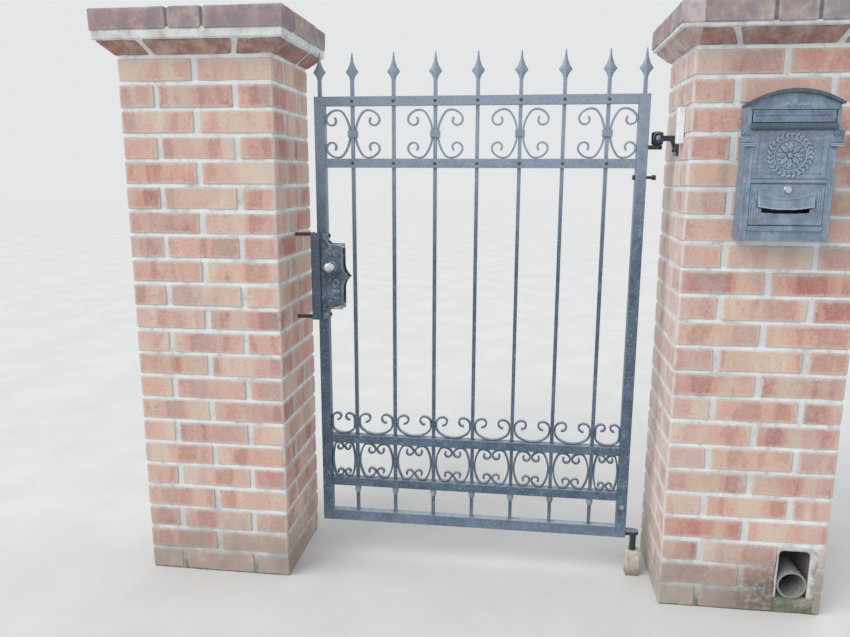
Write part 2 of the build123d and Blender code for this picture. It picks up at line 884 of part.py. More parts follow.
# Sill under the letter slot, with a rounded nose
with BuildPart() as postbox_sill:
    with BuildSketch(Plane.YZ.offset(box_left + jamb_width)):
        with BuildLine():
            Polyline(
                (box_front - sill_lip / 2, slot_foot),
                (front_back, slot_foot),
                (front_back, sill_foot),
                (box_front, sill_foot),
            )
            Spline(
                (box_front, sill_foot),
                (box_front - sill_lip, sill_foot + sill_nose_rise),
                (box_front - sill_lip / 2, slot_foot),
                tangents=((-1, 0), (1, 1)),
            )
        make_face()
    extrude(amount=box_width - 2 * jamb_width)
postbox_sill.part.label = "postbox_sill"
export_step(postbox_sill.part, "parts/postbox_sill.step")

# Panel that carries the medallion, with the waist moulding at its foot
panel_left = box_left + pilaster_width
panel_right = box_right - pilaster_width
with BuildPart() as postbox_panel:
    slab(panel_left, panel_right, box_front + panel_setback, front_back, waist_foot, sill_foot)
    slab(panel_left, panel_right, box_front - waist_lip, front_back, waist_foot, waist_head)
postbox_panel.part.label = "postbox_panel"
export_step(postbox_panel.part, "parts/postbox_panel.step")

# Pilasters, each with a capital: a leaf that curls outwards over a groove and a block
capital_foot = sill_foot - capital_height
block_head = capital_foot + capital_block_height
leaf_foot_z = block_head + capital_groove
capital_face = box_front - capital_lip
with BuildPart() as postbox_pilasters:
    for low in (box_left, panel_right):
        slab(low, low + pilaster_width, box_front, front_back, box_foot, sill_foot)
    for edge in (box_left, box_right):
        low = edge - capital_width / 2
        slab(low, low + capital_width, capital_face, box_front, capital_foot, block_head)
        with BuildSketch(Plane.YZ.offset(low)):
            with BuildLine():
                Polyline(
                    (box_front - capital_lip / 2, sill_foot),
                    (box_front, sill_foot),
                    (box_front, leaf_foot_z),
                    (box_front - capital_lip / 2, leaf_foot_z),
                )
                ThreePointArc(
                    (box_front - capital_lip / 2, leaf_foot_z),
                    (capital_face, (leaf_foot_z + sill_foot) / 2),
                    (box_front - capital_lip / 2, sill_foot),
                )
            make_face()
        extrude(amount=capital_width)
postbox_pilasters.part.label = "postbox_pilasters"
export_step(postbox_pilasters.part, "parts/postbox_pilasters.step")

moulding_foot = base_head - base_moulding
with BuildPart() as postbox_base:
    slab(panel_left, panel_right, box_front, front_back, box_foot, base_head)
    slab(panel_left, panel_right, box_front - waist_lip, front_back, moulding_foot, base_head)
postbox_base.part.label = "postbox_base"
export_step(postbox_base.part, "parts/postbox_base.step")

# Medallion: a ring round a flower of petals
panel_face = -(box_front + panel_setback)
medallion_middle = (waist_head + sill_foot) / 2
with BuildPart() as postbox_medallion:
    with BuildSketch(Plane.XZ.offset(panel_face)):
        with Locations((box_middle, medallion_middle)):
            Circle(medallion_radius)
    extrude(amount=medallion_thickness / 2)
    with BuildSketch(Plane.XZ.offset(panel_face + medallion_thickness / 2)):
        with Locations((box_middle, medallion_middle)):
            Circle(medallion_radius)
            Circle(medallion_radius - medallion_ring_width, mode=Mode.SUBTRACT)
            Circle(medallion_hub_radius)
            with PolarLocations(petal_middle, petal_count):
                Ellipse(petal_length / 2, petal_width / 2)
    extrude(amount=medallion_thickness / 2)
postbox_medallion.part.label = "postbox_medallion"
export_step(postbox_medallion.part, "parts/postbox_medallion.step")

# Letter flap, hung on a rod between the jambs
rod_y = (box_front + front_back) / 2
flap_rod_z = slot_head - moving_gap - flap_rod_radius / 2
slot_left = box_left + jamb_width
slot_right = box_right - jamb_width
with BuildPart() as postbox_flap:
    with BuildSketch(Plane.YZ.offset(slot_left + seat_clearance)):
        with Locations((rod_y, flap_rod_z)):
            Circle(flap_rod_radius)
    extrude(amount=slot_right - slot_left - 2 * seat_clearance)
    slab(
        slot_left + moving_gap,
        slot_right - moving_gap,
        rod_y - flap_thickness / 2,
        rod_y + flap_thickness / 2,
        slot_foot + moving_gap,
        flap_rod_z,
    )
postbox_flap.part.label = "postbox_flap"
export_step(postbox_flap.part, "parts/postbox_flap.step")

# Emptying door, hung on a rod at its foot, with a raised swag over a viewing slot
door_left = panel_left + moving_gap
door_right = panel_right - moving_gap
door_foot = base_head + door_rod_rise
door_head = waist_foot - moving_gap
swag_head = door_head - swag_drop
swag_foot = swag_head - swag_rise
door_slot_head = swag_foot - swag_to_slot
swag_left = (box_middle - swag_half_span, swag_head)
swag_right = (box_middle + swag_half_span, swag_head)
with BuildPart() as postbox_door:
    slab(door_left, door_right, box_front, front_back, door_foot, door_head)
    with BuildSketch(Plane.YZ.offset(panel_left + seat_clearance)):
        with Locations((rod_y, door_foot)):
            Circle(door_rod_radius)
    extrude(amount=panel_right - panel_left - 2 * seat_clearance)
    with BuildSketch(Plane.XZ.offset(-box_front)):
        with BuildLine():
            ThreePointArc(swag_left, (box_middle, swag_foot), swag_right)
            Polyline(
                swag_right,
                (box_middle + swag_half_span, door_slot_head),
                (box_middle - swag_half_span, door_slot_head),
                swag_left,
            )
        make_face()
    extrude(amount=-door_recess, mode=Mode.SUBTRACT)
    with BuildSketch(Plane.XZ.offset(-box_front)):
        with Locations((box_middle, door_slot_head - door_slot_height / 2)):
            Rectangle(2 * swag_half_span, door_slot_height)
    extrude(amount=-front_thickness, mode=Mode.SUBTRACT)
    with BuildSketch(Plane.XZ.offset(-box_front)):
        with BuildLine():
            ThreePointArc(swag_left, (box_middle, swag_foot), swag_right)
        trace(line_width=swag_width)
    extrude(amount=swag_lip)
postbox_door.part.label = "postbox_door"
export_step(postbox_door.part, "parts/postbox_door.step")

with BuildPart() as postbox_lock:
    with BuildSketch(Plane.XZ.offset(-box_front)):
        with Locations((box_middle, door_head - lock_barrel_drop)):
            Circle(lock_barrel_radius)
    extrude(amount=lock_barrel_length)
postbox_lock.part.label = "postbox_lock"
export_step(postbox_lock.part, "parts/postbox_lock.step")
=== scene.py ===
import math
from functools import partial

import bpy
import numpy as np
from mathutils import Matrix, Vector


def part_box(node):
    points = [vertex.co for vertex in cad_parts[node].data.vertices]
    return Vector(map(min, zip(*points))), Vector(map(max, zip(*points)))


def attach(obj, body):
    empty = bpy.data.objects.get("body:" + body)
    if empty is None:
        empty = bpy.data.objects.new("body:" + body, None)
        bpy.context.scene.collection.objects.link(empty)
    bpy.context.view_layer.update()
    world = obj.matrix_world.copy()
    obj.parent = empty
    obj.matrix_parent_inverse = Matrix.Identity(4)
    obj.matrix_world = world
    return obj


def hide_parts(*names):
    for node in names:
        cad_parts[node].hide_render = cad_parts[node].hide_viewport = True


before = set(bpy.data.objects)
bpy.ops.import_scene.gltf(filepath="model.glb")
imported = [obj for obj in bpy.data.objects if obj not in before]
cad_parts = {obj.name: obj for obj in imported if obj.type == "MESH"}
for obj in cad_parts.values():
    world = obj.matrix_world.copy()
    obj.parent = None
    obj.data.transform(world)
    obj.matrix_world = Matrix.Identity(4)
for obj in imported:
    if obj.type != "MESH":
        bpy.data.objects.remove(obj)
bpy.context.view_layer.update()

bl_info = {
    "name": "Wrought Iron Garden Gate",
    "version": (1, 0, 0),
    "blender": (4, 5, 0),
    "location": "3D View > Sidebar > Gate",
    "description": "Dresses a garden gate with its brick piers, painted ironwork, lock and post box",
    "category": "Object",
}

MM = 0.001
PIERS = {}
for side in ("left", "right"):
    shaft_low, shaft_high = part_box(side + "_pier")
    PIERS[side] = {
        "centre": (shaft_low.x + shaft_high.x) / 2,
        "bed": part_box(side + "_splay_course")[1].z,
        "top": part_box(side + "_cap_course")[1].z,
    }
PIER_SIZE = shaft_high - shaft_low
SHAFT_TOP = shaft_high.z
SPLAY_TOP = SHAFT_TOP + 46 * MM
BED_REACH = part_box("right_splay_course")[1].x - shaft_high.x
CAP_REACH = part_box("right_cap_course")[1].x - shaft_high.x
# Head of the arched hole that the drain comes out of
DRAIN_HEAD = 219 * MM
# Plane of the post box's front, in millimetres before the hinge line
BOX_FRONT = 285
# Each side's name, and the way its faces look along Y
FACES = (("street", -1), ("garden", 1))


# Colours and sizes

def srgb(code):
    """Linear colour with alpha from an sRGB hex value such as "8a5c44"."""
    parts = np.array([int(code[i:i + 2], 16) for i in (0, 2, 4)]) / 255
    linear = np.where(parts <= 0.04045, parts / 12.92, ((parts + 0.055) / 1.055) ** 2.4)
    return (*linear.tolist(), 1.0)


def per_mm(size):
    """Scale of a texture node whose features are so many millimetres across, in metre coordinates."""
    return 1000.0 / size


# Settings that a user would change

COLOUR = {"subtype": "COLOR", "size": 4, "min": 0.0, "max": 1.0}


class BrickworkSettings(bpy.types.PropertyGroup):
    """Sizes and colours of the two brick piers."""

    course: bpy.props.FloatProperty(
        name="Course height", description="From one bed joint to the next", default=0.08, unit="LENGTH")
    joint: bpy.props.FloatProperty(
        name="Bed joint", description="Thickness of the level mortar joints", default=0.008, unit="LENGTH")
    upright_joint: bpy.props.FloatProperty(
        name="Upright joint", description="Thickness of the upright joints", default=0.014, unit="LENGTH")
    header: bpy.props.FloatProperty(
        name="Header width", description="Width of a brick's end", default=0.117, unit="LENGTH")
    recess: bpy.props.FloatProperty(
        name="Joint recess", description="Depth of mortar behind the bricks", default=0.0034, unit="LENGTH")
    wear: bpy.props.FloatProperty(
        name="Edge wear", description="Size of chips along the bricks' edges", default=0.0016, unit="LENGTH")
    burnt: bpy.props.FloatVectorProperty(
        name="Burnt clay", description="Colour of the patches that the kiln scorched",
        default=srgb("8f7c70"), **COLOUR)
    bloom: bpy.props.FloatVectorProperty(
        name="Lime bloom", description="Colour of the lime that clouds the bricks",
        default=srgb("c6bdb9"), **COLOUR)


class IronworkSettings(bpy.types.PropertyGroup):
    """Sizes and colours of the leaf's ironwork and of its hinge."""

    edge: bpy.props.FloatProperty(
        name="Edge radius", description="Rounding of the rolled bars' edges", default=0.0012, unit="LENGTH")
    rivet: bpy.props.FloatProperty(
        name="Rivet radius", description="Radius of the rails' rivet heads", default=0.0055, unit="LENGTH")
    paint: bpy.props.FloatVectorProperty(
        name="Paint", description="Colour of the paint on the stiles, rails and scrolls",
        default=srgb("5a6e83"), **COLOUR)
    hinge_paint: bpy.props.FloatVectorProperty(
        name="Hinge paint", description="Colour of the paint on the hinge and the pivot",
        default=srgb("343a44"), **COLOUR)


class PostBoxSettings(bpy.types.PropertyGroup):
    """Sizes and colours of the post box."""

    edge: bpy.props.FloatProperty(
        name="Edge radius", description="Rounding of the castings' edges", default=0.0008, unit="LENGTH")
    shade: bpy.props.FloatVectorProperty(
        name="Lacquer in shade", description="Darker tone of the lacquer's clouds",
        default=srgb("6b7d90"), **COLOUR)
    lacquer: bpy.props.FloatVectorProperty(
        name="Lacquer", description="Lighter tone of the lacquer's clouds", default=srgb("8b9cae"), **COLOUR)


class StudioSettings(bpy.types.PropertyGroup):
    """Levels and colours of the studio."""

    sky: bpy.props.FloatProperty(
        name="Sky", description="Strength of the light from all sides", default=0.72)
    key: bpy.props.FloatProperty(
        name="Key", description="Strength of the far soft lamp over the street", default=1.9)
    fill: bpy.props.FloatProperty(
        name="Fill", description="Strength of the far soft lamp over the garden", default=0.5)
    floor: bpy.props.FloatVectorProperty(
        name="Floor", description="Colour of the plaster floor", default=srgb("d9d9d7"), **COLOUR)


# Nodes

# Blender's node behind each word: its type, its settings, its inputs in order, and its output
NODES = {
    "place": ("ShaderNodeTexCoord", {}, (), "Object"),
    "facing": ("ShaderNodeNewGeometry", {}, (), "Normal"),
    "attribute": ("ShaderNodeAttribute", {}, (), "Fac"),
    "vector attribute": ("ShaderNodeAttribute", {}, (), "Vector"),
    "x": ("ShaderNodeSeparateXYZ", {}, (0,), "X"),
    "y": ("ShaderNodeSeparateXYZ", {}, (0,), "Y"),
    "z": ("ShaderNodeSeparateXYZ", {}, (0,), "Z"),
    "noise": ("ShaderNodeTexNoise", {}, ("Vector", "Scale", "Detail", "Roughness", "Distortion"), "Fac"),
    "cells": ("ShaderNodeTexVoronoi", {}, ("Vector", "Scale"), "Distance"),
    "stretch": ("ShaderNodeMapping", {}, ("Vector", "Scale"), 0),
    "ramp": ("ShaderNodeValToRGB", {}, ("Fac",), "Color"),
    # From 0 at the first bound to 1 at the second, smoothly
    "step": ("ShaderNodeMapRange", {"interpolation_type": "SMOOTHSTEP"}, ("Value", "From Min", "From Max"),
             "Result"),
    "range": ("ShaderNodeMapRange", {}, ("Value", "From Min", "From Max", "To Min", "To Max"), "Result"),
    "mix": ("ShaderNodeMix", {"data_type": "RGBA"}, (0, 6, 7), 2),
    "sum": ("ShaderNodeMath", {"operation": "ADD"}, (0, 1), 0),
    "times": ("ShaderNodeMath", {"operation": "MULTIPLY"}, (0, 1), 0),
    "lesser": ("ShaderNodeMath", {"operation": "MINIMUM"}, (0, 1), 0),
    "greater": ("ShaderNodeMath", {"operation": "MAXIMUM"}, (0, 1), 0),
    "times and sum": ("ShaderNodeVectorMath", {"operation": "MULTIPLY_ADD"}, (0, 1, 2), 0),
    "unsigned": ("ShaderNodeVectorMath", {"operation": "ABSOLUTE"}, (0,), 0),
    "difference": ("ShaderNodeVectorMath", {"operation": "SUBTRACT"}, (0, 1), 0),
    "distance": ("ShaderNodeVectorMath", {"operation": "DISTANCE"}, (0, 1), "Value"),
    "bump": ("ShaderNodeBump", {}, ("Strength", "Distance", "Height"), "Normal"),
    "surface": ("ShaderNodeBsdfPrincipled", {},
                ("Base Color", "Roughness", "Normal", "Metallic", "Specular IOR Level"), "BSDF"),
    "material": ("ShaderNodeOutputMaterial", {}, ("Surface",), None),
    "camera ray": ("ShaderNodeLightPath", {}, (), "Is Camera Ray"),
    "glossy ray": ("ShaderNodeLightPath", {}, (), "Is Glossy Ray"),
    "sky": ("ShaderNodeBackground", {}, ("Color", "Strength"), 0),
    "either sky": ("ShaderNodeMixShader", {}, (0, 1, 2), 0),
    "world": ("ShaderNodeOutputWorld", {}, ("Surface",), None),
}


def add_node(tree, word, *values, stops=(), **settings):
    """Add a node that NODES lists, with its settings and a ramp's stops, and give its output.

    The values are set or linked in the order of its inputs, and None leaves one alone.
    A stop is a position and a hex colour.
    """
    kind, usual, inputs, output = NODES[word]
    made = tree.nodes.new(kind)
    for key, value in {**usual, **settings}.items():
        setattr(made, key, value)
    for key, value in zip(inputs, values):
        if isinstance(value, bpy.types.NodeSocket):
            tree.links.new(value, made.inputs[key])
        elif value is not None:
            made.inputs[key].default_value = value
    while stops and len(made.color_ramp.elements) < len(stops):
        made.color_ramp.elements.new(0.5)
    for k, (place, code) in enumerate(stops):
        made.color_ramp.elements[k].position = place
        made.color_ramp.elements[k].color = srgb(code)
    return None if output is None else made.outputs[output]


def start_material(name):
    """A material with an empty tree, and the function that adds nodes to it."""
    made = bpy.data.materials.new(name)
    made.use_nodes = True
    made.node_tree.nodes.clear()
    return made, partial(add_node, made.node_tree)


def finish_material(add, colour, roughness, height=None, depth=0.001, strength=1.0,
                    metallic=None, specular=None):
    """End a tree in a Principled shader with a bump of the given depth in metres."""
    normal = None if height is None else add("bump", strength, depth, height)
    add("material", add("surface", colour, roughness, normal, metallic, specular))


# Surfaces worked out as arrays

def ripple(points, size, rng, waves=16):
    """Smooth random field: a sum of plane waves of random heading, about size long, of unit spread."""
    heading = rng.normal(size=(waves, 3))
    heading /= np.linalg.norm(heading, axis=1, keepdims=True)
    pitch = 2 * np.pi / size * rng.uniform(0.6, 1.5, waves)
    phase = rng.uniform(0, 2 * np.pi, waves)
    return np.cos(points @ (heading * pitch[:, None]).T + phase).sum(-1) * math.sqrt(2 / waves)


def grid_quads(rows, columns, wrap):
    """Quads of a grid of rows and columns, counted row by row, with the columns wrapped round or not."""
    across = columns if wrap else columns - 1
    row, column = np.meshgrid(np.arange(rows - 1), np.arange(across), indexing="ij")
    after = (column + 1) % columns
    return np.stack([row * columns + column, row * columns + after,
                     (row + 1) * columns + after, (row + 1) * columns + column], -1).reshape(-1, 4)


def add_piece(name, points, faces, look, body, smooth=True, values=None):
    """Mesh object from points and faces, with its material, body and values for each point."""
    mesh = bpy.data.meshes.new(name)
    mesh.from_pydata(np.asarray(points, float).reshape(-1, 3).tolist(), [], faces)
    mesh.validate()
    mesh.polygons.foreach_set("use_smooth", [smooth] * len(mesh.polygons))
    for key, data in (values or {}).items():
        flat = np.asarray(data, np.float32).reshape(len(mesh.vertices), -1)
        kind, field = ("FLOAT", "value") if flat.shape[1] == 1 else ("FLOAT_VECTOR", "vector")
        mesh.attributes.new(key, kind, "POINT").data.foreach_set(field, flat.ravel())
    mesh.update()
    piece = bpy.data.objects.new(name, mesh)
    bpy.context.scene.collection.objects.link(piece)
    mesh.materials.append(look)
    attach(piece, body)
    return piece


def shell_faces(rows, columns, start=0, capped=True):
    """Faces of a wrapped grid, its first and last rows closed by one face each."""
    faces = (grid_quads(rows, columns, True) + start).tolist()
    if capped:
        faces.append((start + np.arange(columns)[::-1]).tolist())
        faces.append((start + (rows - 1) * columns + np.arange(columns)).tolist())
    return faces


def rounded_outline(per_side, per_corner):
    """Rounded rectangle, anticlockwise: x = a hx + b r and y = c hy + d r, as the four rows a, b, c, d.

    Corners are quarter circles of radius r about points r inside the corner, and
    sides run straight from the end of one quarter to the start of the next.
    """
    columns = []
    signs = ((1, 1), (-1, 1), (-1, -1), (1, -1))
    for k, (sx, sy) in enumerate(signs):
        turn = np.pi / 2 * (k + np.linspace(0, 1, per_corner))
        arc = np.stack([np.full(per_corner, sx), np.cos(turn) - sx,
                        np.full(per_corner, sy), np.sin(turn) - sy])
        next_x, next_y = signs[(k + 1) % 4]
        ahead = np.pi / 2 * (k + 1)
        goal = np.array([next_x, math.cos(ahead) - next_x, next_y, math.sin(ahead) - next_y])
        share = np.linspace(0, 1, per_side + 2)[1:-1]
        side = arc[:, -1:] * (1 - share) + goal[:, None] * share
        columns += [arc, side]
    return np.concatenate(columns, 1)


def outward(points, faces):
    """The faces, turned round where the closed shape that they make has a negative volume."""
    flat = np.asarray(points).reshape(-1, 3)
    halves = ([face[:3] for face in faces], [(face[0], face[2], face[-1]) for face in faces])
    a, b, c = np.moveaxis(flat[np.concatenate([np.array(half) for half in halves])], 1, 0)
    volume = (a * np.cross(b, c)).sum()
    return faces if volume > 0 else [face[::-1] for face in faces]


def turned(profile, places, axis, around=14):
    """Points and faces of turned shapes: a profile carried round an axis at each place.

    The profile is pairs of radius and distance along the axis in millimetres, the places are in metres.
    """
    radius, along = np.array(profile, float).T[:, :, None, None] * MM
    axis = np.array(axis, float)
    level = np.cross(axis, (0, 0, 1)) if abs(axis[2]) < 0.9 else np.array((1.0, 0, 0))
    turn = np.linspace(0, 2 * np.pi, around, endpoint=False)[:, None]
    ring = np.cos(turn) * level + np.sin(turn) * np.cross(axis, level)
    shape = radius * ring + along * axis
    points = np.asarray(places, float)[:, None, None, :] + shape
    faces = []
    for k in range(len(points)):
        faces += shell_faces(len(profile), around, k * len(profile) * around)
    return points, outward(points, faces)


def cast_slab(x, z, front, back, keep=None):
    """Points and faces of a plate cast in a carved mould, facing the street.

    Its front is a grid of x and z at the heights of y in front, its back lies flat at y = back,
    and walls run round its rim and round the cells that keep leaves out.
    """
    grid_x, grid_z = np.meshgrid(x, z)
    front = np.broadcast_to(front, grid_x.shape)
    faced = [np.stack([grid_x, y, grid_z], -1).reshape(-1, 3) for y in (front, np.full(grid_x.shape, back))]
    index = np.arange(grid_x.size).reshape(grid_x.shape)
    a, b, c, d = index[:-1, :-1], index[:-1, 1:], index[1:, 1:], index[1:, :-1]
    if keep is None:
        keep = np.ones(a.shape, bool)
    padded = np.pad(keep, 1)
    quads = [np.stack([a, b, c, d], -1)[keep], np.stack([d, c, b, a], -1)[keep] + grid_x.size]
    for first, second, beside in ((b, a, padded[:-2, 1:-1]), (d, c, padded[2:, 1:-1]),
                                  (a, d, padded[1:-1, :-2]), (c, b, padded[1:-1, 2:])):
        rim = keep & ~beside
        p, q = first[rim], second[rim]
        quads.append(np.stack([p, q, q + grid_x.size, p + grid_x.size], -1))
    used, faces = np.unique(np.concatenate(quads), return_inverse=True)
    return np.concatenate(faced)[used], faces.reshape(-1, 4).tolist(), used


def beads(paths, width, height, around=10):
    """Points and faces of cast beads: an ellipse carried along each path, half sunk in a wall.

    The paths are an array of beads by points by 3. At each point the ellipse reaches its width
    to either side of the path, level with the wall, and its height out of the wall.
    """
    paths = np.asarray(paths, float)
    along = np.gradient(paths, axis=1)
    side = np.stack([-along[..., 2], np.zeros(along.shape[:2]), along[..., 0]], -1)
    side /= np.maximum(np.linalg.norm(side, axis=-1, keepdims=True), 1e-9)
    turn = np.linspace(0, 2 * np.pi, around, endpoint=False)
    across = (np.asarray(width)[..., None] * np.cos(turn))[..., None] * side[:, :, None, :]
    rise = (np.asarray(height)[..., None] * np.sin(turn))[..., None] * np.array([0, -1, 0])
    points = paths[:, :, None, :] + across + rise
    count, rows = paths.shape[:2]
    faces = []
    for k in range(count):
        faces += shell_faces(rows, around, k * rows * around)
    return points, outward(points, faces)


def leaf_beads(leaves, y, wave=0.18):
    """Cast leaves: beads along gently bent lines, widest before the middle and pointed at both ends.

    Each leaf is (x, z, heading in degrees, length, width, height, bend) from its foot, in millimetres.
    """
    x, z, heading, length, width, height, bend = np.array(leaves, float).T[:, :, None]
    t = np.linspace(0, 1, 11)[None, :]
    turn = np.radians(heading) + np.radians(bend) * (t - 0.5)
    step = length / 10
    gone_x = np.concatenate([np.zeros_like(x), np.cumsum(np.cos(turn) * step, 1)[:, :-1]], 1)
    gone_z = np.concatenate([np.zeros_like(x), np.cumsum(np.sin(turn) * step, 1)[:, :-1]], 1)
    line = np.stack([x + gone_x, np.full(gone_x.shape, y / MM), z + gone_z], -1)
    swell = np.sin(np.pi * t ** 0.8) ** 0.75
    swell = np.maximum(swell, 0.03)
    return beads(line * MM, width / 2 * swell * MM, height * swell * (1 - wave * np.cos(6 * np.pi * t)) * MM)


def leaf_relief(x, z, middle_x, middle_z, heading, length, width):
    """Height from 0 to 1 of a leaf on a plate: pointed at both tips, round across, grooved along."""
    across, up = x - middle_x, z - middle_z
    u = (across * math.cos(heading) + up * math.sin(heading)) / (length / 2)
    v = -across * math.sin(heading) + up * math.cos(heading)
    taper = np.clip(1 - u ** 2, 0, 1)
    body = np.clip(1 - (v / (width / 2 * taper ** 0.8 + 1e-6)) ** 2, 0, 1) ** 0.5 * taper ** 0.5
    return body * (1 - 0.3 * np.exp(-(v / (width * 0.1)) ** 2))


def rubbed_heights(height, spacing):
    """How far each point of a carved height field stands over its surroundings, from -1 to 1.

    The field less itself blurred twice each way over five points, divided by the spacing.
    """
    blurred = np.pad(height, 4, mode="edge")
    for axis in (0, 1):
        for _ in range(2):
            blurred = sum(np.roll(blurred, k, axis) for k in (-2, -1, 0, 1, 2)) / 5
    return np.clip((height - blurred[4:-4, 4:-4]) / spacing, -1, 1)


# Materials

def weathered(add, colour, place, damp_tint):
    """Colour under the grime of cap and splay, a lime run, the damp of the foot and the drain's silt."""
    soot = add("attribute", attribute_name="soot")
    grime = add("ramp", soot, stops=((0.0, "a09a97"), (0.5, "8b6a63"), (1.0, "87828a")))
    cover = add("times", add("step", add("noise", place, per_mm(45), 5.0, 0.7), 0.3, 0.65), 0.55)
    cover = add("times", add("sum", cover, 0.35), add("step", soot, 0.0, 0.4))
    colour = add("mix", cover, colour, grime)
    # Lime has run down the right pier's inner face, which lies at X 60 mm
    along = add("x", place)
    run = add("times", add("step", along, 0.07, 0.066), add("step", along, 0.0, 0.03))
    run = add("times", run, add("step", add("noise", place, per_mm(60), 5.0, 0.7), 0.3, 0.62))
    colour = add("mix", add("times", run, 0.6), colour, srgb("ded6d2"))
    # Damp rises 0.42 m from the ground
    low = add("step", add("z", place), 0.42, 0.0)
    damp = add("times", low, add("noise", place, per_mm(90), 4.0, 0.65))
    colour = add("mix", add("times", add("step", damp, 0.12, 0.6), 0.75), colour, srgb(damp_tint))
    # Silt lies round the left foot of the drain's mouth, thinning out over 0.2 m
    away = add("distance", place, (0.415, -0.19, 0.035))
    silt = add("times", add("step", away, 0.2, 0.04),
               add("step", add("noise", place, per_mm(16), 5.0, 0.7), 0.25, 0.6))
    return add("mix", add("times", silt, 0.85), colour, srgb("66645a"))


def fired_clay_brick():
    """Hand-moulded facing brick, fired unevenly: salmon clay with red, buff and burnt blocks."""
    settings = bpy.context.scene.gate_brickwork
    made, add = start_material("fired_clay_brick")
    place = add("place")
    tone = add("attribute", attribute_name="brick_tone")
    middle = add("vector attribute", attribute_name="brick_place")
    half = add("vector attribute", attribute_name="brick_half")
    own = add("times and sum", tone, (37.0, 91.0, 53.0), middle)
    # Bricks were stacked on edge in the kiln, so each face is banded upright, a third of a brick wide
    upright = add("stretch", own, (1.0, 1.0, 0.22))
    band = add("sum", add("noise", upright, per_mm(105), 2.0, 0.5, 0.6),
               add("times", add("noise", own, per_mm(14), 5.0, 0.75), 0.2))
    fired = add("ramp", band, stops=(
        (0.46, "dcccb5"), (0.53, "dbbba8"), (0.56, "d6aa99"), (0.64, "d3a394"),
        (0.665, "c0867b"), (0.72, "b47268"), (0.77, "a98b80")))
    body = add("ramp", tone, stops=(
        (0.0, "d6c6ae"), (0.22, "dcc0af"), (0.45, "d5b0a1"), (0.65, "d0b1a9"), (0.82, "bd8176"),
        (1.0, "b3a19a")))
    clay = add("mix", 0.42, fired, body)
    burnt = add("step", add("noise", own, per_mm(55), 6.0, 0.7, 0.4), 0.58, 0.70)
    clay = add("mix", add("times", burnt, 0.4), clay, tuple(settings.burnt))
    # Specks of grog and burnt sand, drawn a little coarse to show
    speck = add("noise", own, per_mm(8), 5.0, 0.75)
    clay = add("mix", add("times", add("step", speck, 0.55, 0.66), 0.42), clay, srgb("8f6b5f"))
    clay = add("mix", add("times", add("step", speck, 0.45, 0.34), 0.4), clay, srgb("dccdc0"))
    # Distance to the face's nearest edge is the middle one of the three distances to the brick's sides
    gap = add("difference", half, add("unsigned", middle))
    gap_x, gap_y, gap_z = add("x", gap), add("y", gap), add("z", gap)
    larger = add("lesser", add("greater", gap_x, gap_y), gap_z)
    edge = add("greater", add("lesser", gap_x, gap_y), larger)
    ragged = add("sum", edge, add("times", add("noise", own, per_mm(24), 5.0, 0.75), 0.036))
    # Mortar is smeared over the edges of the bricks, as far as 13 mm in
    clay = add("mix", add("times", add("step", ragged, 0.031, 0.018), 0.8), clay, srgb("cfcac6"))
    # Lime blooms over the wall in thin clouds
    bloom = add("step", add("noise", place, per_mm(150), 5.0, 0.7), 0.42, 0.72)
    clay = add("mix", add("times", bloom, 0.42), clay, tuple(settings.bloom))
    clay = weathered(add, clay, place, "9a958c")
    pits = add("step", add("cells", own, per_mm(9)), 0.0, 0.28)
    relief = add("sum", add("noise", own, per_mm(2.6), 4.0, 0.7), add("times", pits, 0.6))
    relief = add("sum", relief, add("times", speck, 1.2))
    relief = add("sum", relief, add("step", ragged, 0.015, 0.022))
    finish_material(add, clay, 0.93, relief, 0.0011, 0.8, specular=0.25)
    return made


def lime_mortar():
    """Struck lime mortar, near white, sandy, with grey damp and thin moss at the foot."""
    made, add = start_material("lime_mortar")
    place = add("place")
    cloud = add("ramp", add("noise", place, per_mm(70), 5.0, 0.7), stops=(
        (0.34, "c6c6c2"), (0.45, "e2e5e3"), (0.6, "eef1ef"), (0.72, "d7d7d3")))
    # Upright joints were pointed with a greyer mix than the bed joints
    upright = add("attribute", attribute_name="upright")
    colour = add("mix", add("times", upright, 0.4), cloud, srgb("c4c4c1"))
    stain = add("step", add("noise", place, per_mm(26), 5.0, 0.75), 0.56, 0.72)
    colour = add("mix", add("times", stain, 0.5), colour, srgb("a39a93"))
    colour = weathered(add, colour, place, "9f9c94")
    # The joints between the cap's bricks have opened and are full of dirt
    opened = add("step", add("attribute", attribute_name="soot"), 0.6, 0.9)
    colour = add("mix", add("times", opened, 0.6), colour, srgb("5a5455"))
    low = add("step", add("z", place), 0.16, 0.0)
    moss = add("times", low, add("noise", place, per_mm(30), 5.0, 0.7))
    colour = add("mix", add("step", moss, 0.3, 0.62), colour, srgb("6f7458"))
    sand = add("sum", add("noise", place, per_mm(1.6), 3.0, 0.6), add("noise", place, per_mm(9), 4.0, 0.6))
    finish_material(add, colour, 0.96, sand, 0.0014, 0.9, specular=0.2)
    return made


def drain_cement():
    """Grey cement trowelled round the drain, with painted shade that darkens it deeper into the hole."""
    made, add = start_material("drain_cement")
    silt = add("attribute", attribute_name="silt")
    cloud = add("noise", add("place"), per_mm(14), 5.0, 0.7)
    cement = add("mix", add("step", cloud, 0.35, 0.65), srgb("b3b1ab"), srgb("cfcdc8"))
    # Painted shade: the cement darkens with the silt value, which rises from the opening's edge into the hole
    painted_hole_shade = add("step", add("sum", silt, add("times", cloud, 0.5)), 0.4, 0.75)
    finish_material(add, add("mix", painted_hole_shade, cement, srgb("6a6064")), 0.92, cloud, 0.0015, 0.9)
    return made


